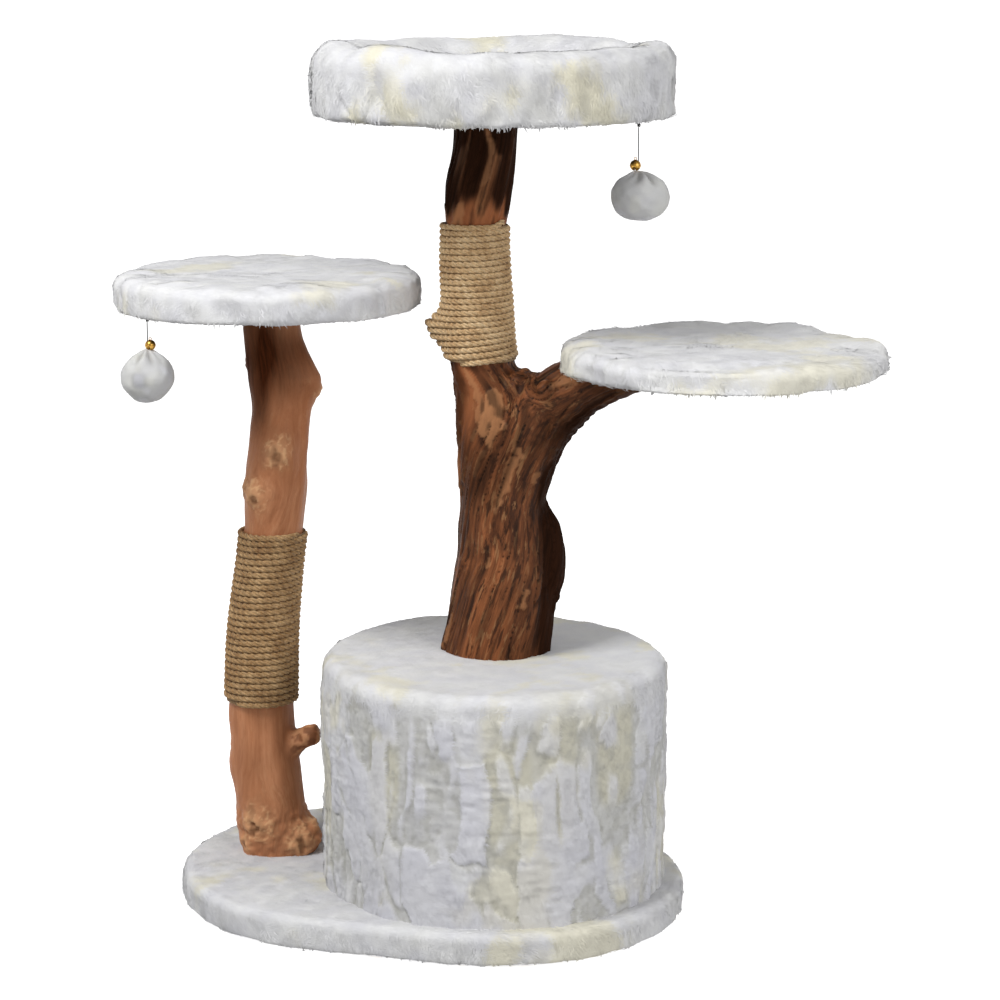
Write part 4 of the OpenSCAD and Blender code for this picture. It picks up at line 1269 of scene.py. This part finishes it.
def make_trunk():
    made = wood_mesh("trunk_wood", "trunk", 2.3 * MM)
    p = points_of(made.data)
    stem, near = grain_of_stem(p, trunk_line, 3.2)
    fork = [(0.085, 0.02, 0.44), (0.104, 0.017, 0.545), (0.15, 0.008, 0.622), (0.222, 0, 0.668),
            (0.33, -0.008, 0.695)]
    limb, far = grain_of_branch(p, fork)
    on_limb = ease(near - far / 0.045, -0.35, 0.5) * ease(p[:, 2], 0.47, 0.56)
    knots = [(0.163, -0.041, 0.652, 0.011), (0.070, -0.030, 0.445, 0.01), (0.093, 0.085, 0.52, 0.016),
             (0.2, 0.035, 0.68, 0.012)]
    inside, rings, _, _, pull = knots_on(p, knots)
    grain = (stem + pull) * (1 - on_limb)[:, None] + (limb + pull) * on_limb[:, None]
    high = p[:, 2].max()
    torn = noise(grain * np.array([60, 60, 14.0]) + 1.3, 12) + 0.3 * noise(p * 120, 13) - 0.12
    patch = np.exp(-((p[:, 0] - 0.086) / 0.017) ** 2 - ((p[:, 2] - 0.612) / 0.033) ** 2) * (p[:, 1] < 0.01)
    pale = np.maximum(ease(torn, 0.42, 0.5) * 0.55, ease(patch + 0.3 * noise(p * 110, 14), 0.42, 0.5) * 0.85)
    orange = ease(p[:, 2], 0.5, 0.64) * ease(p[:, 2], 0.69, 0.66)
    orange = orange * ease(p[:, 0] + 0.02 * noise(grain * 20, 15), 0.082, 0.062)
    fibrous = noise(grain * np.array([60, 60, 9.0]), 16) + 0.6 * noise(grain * np.array([190, 190, 14.0]), 26)
    top = ease(p[:, 2] + 0.02 * fibrous, high - 0.12, high - 0.1)
    streak = ease(noise(grain * np.array([45, 45, 3.0]) + 4, 17), 0.25, 0.5) * 0.6
    low_top = ease(p[:, 2], rope_high - 4 * MM, rope_high + 2 * MM) * (1 - top)
    # painted shade under the branch, where the skin faces down; the branch's far end is darkened too
    under = ease(normals_of(made.data)[:, 2], -0.1, -0.75) * ease(p[:, 0], 0.13, 0.2)
    under = np.maximum(under, ease(p[:, 0] + 0.015 * noise(grain * 30, 29), 0.2, 0.235))
    lobe = ease(p[:, 0], 0.128, 0.14) * ease(p[:, 2], 0.56, 0.52) * ease(p[:, 1], -0.02, 0.015)
    x, _, r = line_at(trunk_line, p[:, 2])
    aside = (p[:, 0] - x) / r + 0.12 * noise(grain * np.array([60, 60, 9.0]), 19)
    split = aside + 0.1 * fibrous
    slant = 0.32 + 0.33 * ease(p[:, 2], rope_high, high)
    stringy = 0.75 + 0.4 * noise(grain * np.array([280, 280, 18.0]), 28)
    over_rope = ease(p[:, 2], rope_high - 5 * MM, rope_high + 0.03)
    tan_right = stringy * ease(np.abs(split - slant), 0.24, 0.08) * over_rope
    tan_left = 0.5 * ease(np.abs(split + 0.4), 0.1, 0.02) * ease(p[:, 2], high - 0.1, high - 0.06)
    tan = np.clip(tan_right + 0.8 * tan_left, 0, 1)
    left = ease(aside, -0.72, -0.92) * ease(p[:, 2], 0.54, 0.58)
    # painted shade along the right side, away from the key light
    right = ease(aside, 0.62, 0.95) * ease(p[:, 2], 0.64, 0.6)
    burnt = ease(noise(grain * np.array([38, 38, 5.0]) + 8, 20), 0.22, 0.5) * ease(p[:, 2], 0.62, 0.55)
    # char on the top, the left edge and in burnt patches; painted shade under the branch and on the right side;
    # the right lobe is darkened too
    char_and_shade = (top * (1 - streak) * (1 - tan) + 0.8 * under + 0.95 * lobe + 0.8 * left + 0.55 * right
            + 0.5 * burnt)
    wrinkles = np.sin(limb[:, 2] * 430 + 2.5 * noise(p * 50, 18)) * ease(p[:, 0], 0.115, 0.14)
    wrinkles = wrinkles * np.exp(-((p[:, 2] - 0.6) / 0.045) ** 2)
    masks = {
        "height": 1.1 * rings - 1.5 * inside + 1.6 * ease(pale, 0.2, 0.5) + 0.8 * wrinkles,
        "knot": np.clip(inside * (0.5 - 0.5 * rings), 0, 1) * 0.9, "pale": pale + 0.6 * tan,
        "warm": orange + low_top, "char_and_shade": char_and_shade}
    bark = dict(flutes=2.4, ridges=1.1, fibres=0.45, cracks=2.4, lumps=1.2, shade=0.6)
    finish_wood(made, p, grain, masks, bark, trunk_wood, bare_of_rope(p, rope_low, rope_high))
    place(made, "tree", ["trunk"])


def make_post():
    made = wood_mesh("post_wood", "left_post", 2.2 * MM)
    p = points_of(made.data)
    grain, _ = grain_of_stem(p, post_line, 1.6)
    knots = []
    for turn, z, size in ((256, 0.503, 0.019), (286, 0.558, 0.02), (228, 0.507, 0.012), (262, 0.085, 0.024),
                          (238, 0.062, 0.013), (183, 0.66, 0.009), (12, 0.62, 0.016), (75, 0.4, 0.015),
                          (110, 0.6, 0.017), (150, 0.2, 0.013), (335, 0.062, 0.02), (12, 0.075, 0.014)):
        knots.append((*on_stem(p, post_line, turn, z), size))
    inside, _, wrinkles, pit, pull = knots_on(p, knots)
    grain = grain + pull
    high = p[:, 2].max()
    x, y, r = line_at(post_line, p[:, 2])
    out = np.hypot(p[:, 0] - x, p[:, 1] - y) - r
    aside = (p[:, 0] - x) / r
    drift = noise(grain * np.array([40, 40, 8.0]), 21)
    smear = np.exp(-((p[:, 2] - 0.615) / 0.045) ** 2) * ease(aside + 0.25 * drift, 0.25, -0.35)
    top = ease(p[:, 2] + 0.03 * drift, high - 0.13, high - 0.06)
    coal = np.exp(-((aside + 0.25) / 0.55) ** 2 - ((p[:, 2] - high + 0.045) / 0.03) ** 2)
    coal = coal * ease(drift, -0.5, 0.1)
    twig = np.linalg.norm(p - np.array([-0.149, 0.005, 0.192]), axis=1)
    end = blob(p, -0.155, 0.005, 0.186, 0.014)
    stub = ease(out, 0.001, 0.006) * ease(np.abs(p[:, 2] - 0.195), 0.035, 0.02)
    foot = ease(out, 0.001, 0.006) * ease(p[:, 2], 0.11, 0.09)
    burl = blob(p, -0.17, 0.0, 0.665, 0.024)
    blush = ease(noise(grain * np.array([16, 16, 7.0]) + 3, 23), 0.1, 0.6) * 0.5
    bumps = noise(p * 130, 24) + 0.5 * noise(p * 240, 25)
    tip = ease(twig, 0.02, 0.012) * ease(bumps, 0.3, -0.3)
    masks = {
        "height": (4.5 * inside + 1.0 * inside * bumps + 0.7 * wrinkles - 2.2 * pit + 1.3 * stub * bumps
                   + 1.4 * foot * bumps + 3.2 * end + 4.5 * burl),
        "warm": blush + 0.5 * burl,
        "pale": 0.65 * wrinkles + 0.7 * inside**2 + 0.35 * stub * ease(bumps, -0.2, 0.3),
        "knot": 0.35 * inside * ease(bumps, 0.1, -0.5) + 0.45 * stub * ease(bumps, 0.15, -0.35),
        "char_and_shade": 0.55 * pit + 0.72 * top * ease(aside, 1.9, 0.5) + 0.75 * coal + 0.75 * smear + 0.3 * tip}
    bark = dict(flutes=1.3, ridges=0.12, fibres=0.03, cracks=0, lumps=1.8, shade=0.05)
    finish_wood(made, p, grain, masks, bark, post_wood, bare_of_rope(p, post_rope_low, post_rope_high))
    place(made, "tree", ["left_post"])


# ---------- rope ----------

ROPE_STEP = 2.6 * MM     # between two places along a rope
START_ANGLE = -2.2       # where a winding starts, in radians from +X


class Sleeve:
    """The CAD sleeve that stands for a winding, and the stem's middle line inside it."""

    def __init__(self, node, line):
        self.tree = tree_of(nodes[node].data)
        self.line = line
        self.low, self.high = low_of(node), high_of(node)
        self.usual = float(np.mean(line_at(line, (self.low + self.high) / 2)[2])) + 4 * MM

    def reach(self, x, y, z, angle):
        """How far the sleeve's outer surface is from a place inside it, level and in one direction."""
        centre, out = Vector((x, y, z)), Vector((math.cos(angle), math.sin(angle), 0))
        hit = self.tree.ray_cast(centre + out * 0.2, -out)
        return (centre - hit[0]).length if hit[0] is not None else self.usual


class Winding:
    """The middle line of one rope wound round a stem, from its sleeve's lower end to its upper one.
    tilt raises the lowest turns towards +X, and stub lifts the rope's upper end."""

    def __init__(self, sleeve, turns, seed, tilt, stub):
        low, high = sleeve.low, sleeve.high
        pitch = (high - low) / turns
        self.thick = pitch * 1.03
        sweep = (turns - 1) * TAU + 2.0
        self.count = count = int(sweep * sleeve.usual / ROPE_STEP)
        a = np.linspace(0, sweep, count) + START_ANGLE
        z = low + pitch / 2 + (a - START_ANGLE) / TAU * pitch + 0.35 * MM * noise_along(a, 0.9, seed)
        z = np.minimum(z, high - pitch / 2)
        z = z + tilt * np.cos(a) * ease(z, (low + high) / 2, low)
        x, y, _ = line_at(sleeve.line, z)
        level = np.clip(z, low + 0.5 * MM, high - 0.5 * MM)
        reach = np.array([sleeve.reach(*spot) for spot in zip(x, y, level, a)])
        # where the stem widens, the turns lie on a slope and look thicker
        per_turn = int(count * TAU / sweep)
        slope = np.abs(np.concatenate([reach[per_turn:], reach[-1:].repeat(per_turn)]) - reach) / pitch
        self.local = self.thick * np.clip(np.sqrt(1 + slope**2), 1, 1.3)
        ends = np.minimum(np.arange(count), np.arange(count)[::-1]) * ROPE_STEP
        tuck = ease(ends, 0.02, 0.0)
        last = np.arange(count) > count / 2
        reach = reach - self.local / 2 - 5 * MM * tuck * np.where(last & (stub > 0), 0.2, 1)
        z = z + stub * tuck * last
        self.centre = np.stack([x + reach * np.cos(a), y + reach * np.sin(a), z], 1)
        ahead = np.gradient(self.centre, axis=0)
        self.s = np.cumsum(np.linalg.norm(ahead, axis=1))
        self.ahead = unit(ahead)
        self.over = unit(np.cross(self.ahead, np.stack([np.cos(a), np.sin(a), np.zeros(count)], 1)))
        self.out = np.cross(self.over, self.ahead)


def rope_strands(name, rope, seed):
    """Three strands laid round each other, each a closed tube."""
    strands, sides, count = 3, 7, rope.count
    lay = 3.3 * rope.thick
    wander = 0.35 * noise_along(rope.s, 25, seed + 2)
    b = np.linspace(0, TAU, sides, endpoint=False)
    # the points run place by place, and the grid strand by strand
    index = np.arange(count * sides).reshape(count, sides).T.ravel()
    tube_faces = index[grid_faces(sides, count)][:, ::-1]
    cap = np.array([[0, k, k + 1] for k in range(1, sides - 1)])
    cap_faces = np.concatenate([cap[:, ::-1], cap + (count - 1) * sides])
    points, quads, triangles = [], [], []
    for strand in range(strands):
        spoke = around(rope.out, rope.over, TAU * (rope.s / lay + strand / strands) + wander)
        cross = np.cross(rope.ahead, spoke)
        wide = 0.25 * rope.local * (1 + 0.05 * noise_along(rope.s, 60, seed + 5, strand))
        hub = rope.centre + spoke * (0.25 * rope.local)[:, None]
        rim = spoke[:, None] * np.cos(b)[None, :, None] + cross[:, None] * np.sin(b)[None, :, None]
        points.append((hub[:, None] + rim * wide[:, None, None]).reshape(-1, 3))
        quads.append(tube_faces + strand * count * sides)
        triangles.append(cap_faces + strand * count * sides)
    made = mesh_object(name, np.concatenate(points), [np.concatenate(quads), np.concatenate(triangles)])
    store(made, "along", np.tile(np.repeat(rope.s, sides), strands))
    store(made, "across", np.tile(b / TAU, count * strands))
    blank(made, "core_shade")
    return made


def rope_fuzz(name, rope, seed):
    """Loose fibres that stand off a rope, each one thin triangle."""
    rng = np.random.default_rng(seed)
    fibres = 2600
    k = rng.integers(1, rope.count - 1, fibres)
    spoke = around(rope.out[k], rope.over[k], rng.uniform(-1.5, 1.5, fibres))
    root = rope.centre[k] + spoke * (rope.local[k] * 0.45)[:, None]
    size = rng.uniform(1.5, 4.5, fibres)[:, None] * MM
    drift = rope.ahead[k] * rng.normal(0, 0.9, fibres)[:, None]
    drift = drift + rope.over[k] * rng.normal(0, 0.6, fibres)[:, None]
    drift = unit(drift + spoke * rng.uniform(0.15, 0.9, fibres)[:, None])
    side = unit(np.cross(drift, spoke)) * 0.11 * MM
    points = np.stack([root - side, root + side, root + drift * size], 1).reshape(-1, 3)
    made = mesh_object(name, points, np.arange(fibres * 3).reshape(-1, 3))
    blank(made, "along", "across", "core_shade")
    return made


def rope_core(name, sleeve):
    """The turns underneath, seen only where a knob pushes the outer ones apart, darkened as painted shade."""
    angles = np.linspace(0, TAU, 120, endpoint=False)
    levels = np.linspace(sleeve.low + 3 * MM, sleeve.high - 3 * MM, 60)
    points = []
    for angle in angles:
        for level in levels:
            x, y, _ = line_at(sleeve.line, level)
            far = sleeve.reach(x, y, level, angle) - 4 * MM
            points.append((x + math.cos(angle) * far, y + math.sin(angle) * far, level))
    made = mesh_object(name, points, grid_faces(len(angles), len(levels)))
    blank(made, "along")
    store(made, "across", np.array(points)[:, 2] * 60)
    # painted shade: these turns lie in the shade of the outer ones
    store(made, "core_shade", np.full(len(points), 0.6))
    return made


def make_rope(name, node, line, material, turns, seed, tilt=0.0, stub=0.0):
    sleeve = Sleeve(node, line)
    rope = Winding(sleeve, turns, seed, tilt, stub)
    place(rope_strands(name, rope, seed), "tree", [node], material)
    place(rope_fuzz(name + "_fuzz", rope, seed), "tree", (), material)
    place(rope_core(name + "_core", sleeve), "tree", (), material)


# ---------- toys ----------

def make_ball(side, seed, gap_shade):
    """A stuffed velvet pouch, drawn in at the top so that soft folds run down from its neck."""
    low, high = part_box(side + "_toy_ball")
    centre = middle(side + "_toy_ball")
    wide, deep = (high.x - low.x) / 2, (high.y - low.y) / 2
    tall = (high.z - 3 * MM - low.z) / 2
    neck = string_ends(side)[1]
    a = np.linspace(0, TAU, 160, endpoint=False)
    t = np.linspace(0.02, math.pi - 0.01, 110)
    turn, polar = (g.ravel() for g in np.meshgrid(a, t, indexing="ij"))
    away = np.stack([np.sin(polar) * np.cos(turn), np.sin(polar) * np.sin(turn), np.cos(polar)], -1)
    gathers = np.cos(turn * 5 + 1.2 * np.sin(turn * 2 + seed)) + 0.5 * np.cos(turn * 9 + 2 * seed)
    gathers = gathers * np.exp(-((polar - 0.55) / 0.4) ** 2) * ease(polar, 0.05, 0.3)
    long_folds = np.cos(turn * 3 + seed) * np.exp(-((polar - 1.2) / 0.7) ** 2)
    lumps = noise(away * 1.5, seed) + 0.45 * noise(away * 3.2 + 2, seed + 6)
    shape = 0.975 * (1 + 0.05 * gathers + 0.025 * long_folds + 0.06 * lumps)
    points = away * np.array([wide, deep, tall]) * shape[:, None] + np.array([centre.x, centre.y, low.z + tall])
    drawn = np.exp(-((polar / 0.3) ** 2))
    points[:, 0] += drawn * (neck.x - centre.x)
    points[:, 2] += drawn * (high.z - low.z - 2 * tall)
    made = mesh_object(side + "_ball", points, grid_faces(len(a), len(t))[:, ::-1])
    # painted shade in the valleys of the gathers
    store(made, "groove_shade", 0.5 * ease(-gathers, 0.1, 1.2))
    store(made, "cream", ease(noise(away * 2, seed + 3), 0.1, 0.6) * 0.6)
    store(made, "cool", ease(noise(away * 2 + 4, seed + 4), 0.1, 0.6) * 0.4)
    store(made, "tint", np.full(len(points), 0.75))
    # darker in one large soft patch, through the plush's painted-shade input
    store(made, "painted_shade", gap_shade * ease(noise(away * 1.3 + 8, seed + 5), 0.0, 0.6))
    place(made, side + "_toy", [side + "_toy_ball"], velvet)

    make_ball_pile(side, made, np.sin(polar), np.random.default_rng(seed))


def make_ball_pile(side, ball, share, rng):
    """Short velvet fibres, each one thin triangle. share is how densely they stand at each point."""
    k = rng.integers(0, len(share), 9000)
    k = k[rng.random(len(k)) < share[k]]
    n = len(k)
    root, out = points_of(ball.data)[k], normals_of(ball.data)[k]
    drift = unit(np.cross(out, rng.normal(0, 1, (n, 3))))
    across = np.cross(out, drift) * 0.2 * MM
    tip = root + (drift * 0.75 + out * 0.5) * rng.uniform(0.9, 1.7, n)[:, None] * MM
    root = root - out * 0.2 * MM
    hair = mesh_object(side + "_ball_pile", np.stack([root + across, root - across, tip], 1).reshape(-1, 3),
                       np.arange(n * 3).reshape(-1, 3))
    blank(hair, "groove_shade", "cream", "cool")
    store(hair, "tint", np.repeat(rng.random(n), 3))
    hair.data.normals_split_custom_set_from_vertices(np.repeat(out, 3, 0).astype(np.float32))
    store(hair, "lean", np.repeat(out, 3, 0))
    place(hair, side + "_toy", (), velvet)


def tube(name, path, r, sides=8, closed=False):
    """A round tube along a list of points."""
    path = np.asarray(path, float)
    n = len(path)
    ahead = np.roll(path, -1, 0) - np.roll(path, 1, 0) if closed else np.gradient(path, axis=0)
    ahead = unit(ahead)
    side = unit(np.cross(ahead, np.array([0.31, 0.83, 0.47])))
    over = np.cross(ahead, side)
    b = np.linspace(0, TAU, sides, endpoint=False)
    points = path[None] + r * (side[None] * np.cos(b)[:, None, None] + over[None] * np.sin(b)[:, None, None])
    faces = grid_faces(sides, n)
    if closed:
        here = np.arange(sides) * n
        following = np.roll(here, -1)
        faces = np.concatenate([faces, np.stack([here + n - 1, following + n - 1, following, here], 1)])
    return mesh_object(name, points.reshape(-1, 3), faces)


def make_knot(side):
    """Overhand knot where the string is tied to its staple."""
    t = np.linspace(0, TAU, 90, endpoint=False)
    r = radius(side + "_toy_knot") - 0.5 * MM
    path = np.stack([np.sin(t) + 2 * np.sin(2 * t), np.cos(t) - 2 * np.cos(2 * t), -3 * np.sin(3 * t)], 1)
    path = path * r / 3 + np.array(middle(side + "_toy_knot"))
    made = tube(side + "_knot", path, 0.55 * MM, closed=True)
    place(made, side + "_knot", [side + "_toy_knot"], thread)


def make_bell(side):
    """Small brass bell: a ball with a raised seam and a slot, and an eye for the string."""
    c = middle(side + "_toy_bell")
    r = radius(side + "_toy_bell")
    centre = np.array([c.x, c.y, low_of(side + "_toy_bell") + r])
    rows, columns = 64, 48
    turns, polar = np.linspace(0, TAU, rows, endpoint=False), np.linspace(0.01, math.pi - 0.01, columns)
    a, t = np.meshgrid(turns, polar, indexing="ij")
    away = np.stack([np.sin(t) * np.cos(a), np.sin(t) * np.sin(a), np.cos(t)], -1).reshape(-1, 3)
    seam = np.exp(-(away[:, 2] / 0.07) ** 2)
    slot = ease(np.abs(away[:, 0]), 0.16, 0.1) * ease(away[:, 2], -0.3, -0.42)
    ends = ease(np.hypot(np.abs(away[:, 1]) - 0.78, away[:, 0]), 0.26, 0.2) * ease(away[:, 2], -0.2, -0.35)
    shape = 0.97 + 0.05 * seam - 0.3 * np.maximum(slot, ends)
    made = mesh_object(side + "_bell", centre + away * (r * shape)[:, None], grid_faces(rows, columns)[:, ::-1])
    place(made, side + "_toy", [side + "_toy_bell"], brass)
    b = np.linspace(0, TAU, 24, endpoint=False)
    eye, eye_z = 1.5 * MM, centre[2] + r + 1.1 * MM
    path = np.stack([c.x + eye * np.cos(b), np.full(len(b), c.y), eye_z + eye * np.sin(b)], 1)
    place(tube(side + "_bell_eye", path, 0.4 * MM, closed=True), side + "_toy", (), brass)


# ---------- hardware and inner pieces ----------

FINISHES = {
    "board": (particle_board, ["base_board", "condo_floor", "condo_wall", "condo_roof", "left_board",
                               "right_board", "bed_board"]),
    "foam": (foam, ["left_foam", "right_foam"]),
    "underside_cloth": (felt, ["base_lining", "left_lining", "right_lining", "bed_lining"]),
    "pad_rubber": (rubber, ["floor_pads"]),
    "steel": (steel, ["post_bolt", "post_washer", "condo_floor_screws", "trunk_bolts", "trunk_washers",
                      "hanger_bolts", "tee_nuts", "toy_staples"]),
    "brass": (brass, ["post_insert", "trunk_inserts"]),
}


def finish_hardware():
    for material, names in FINISHES.values():
        for name in names:
            data = nodes[name].data
            if not data.materials:
                data.materials.append(material)
            for k in range(len(nodes[name].material_slots)):
                nodes[name].material_slots[k].material = material


# ---------- the whole model ----------

rope_low, rope_high = low_of("trunk_rope"), high_of("trunk_rope")
post_rope_low, post_rope_high = low_of("left_post_rope"), high_of("left_post_rope")
trunk_line = stem_line("trunk", (0.076, 0.025), low_of("trunk") + 6 * MM, high_of("trunk") - 3 * MM)
post_line = stem_line("left_post", (-0.211, 0.008), low_of("left_post") + 6 * MM, high_of("left_post") - 3 * MM)

make_studio()
make_base()
make_drum()
make_door_trim()
make_lining()
make_mat()
make_platform("left", 42000, 3200, 51, 1.6, 1.5 * MM)
make_platform("right", 42000, 4200, 55, 6.0, 2.5 * MM)
make_bed()
make_cushion()
make_trunk()
make_post()
make_rope("trunk_rope_wound", "trunk_rope", trunk_line, trunk_jute, 23, 5, 3.5 * MM, 5 * MM)
make_rope("post_rope_wound", "left_post_rope", post_line, post_jute, 28, 6)
for toy_side, toy_seed, toy_dull in (("left", 3, 0.6), ("right", 8, 0.1)):
    make_ball(toy_side, toy_seed, toy_dull)
    make_knot(toy_side)
    make_bell(toy_side)
finish_hardware()
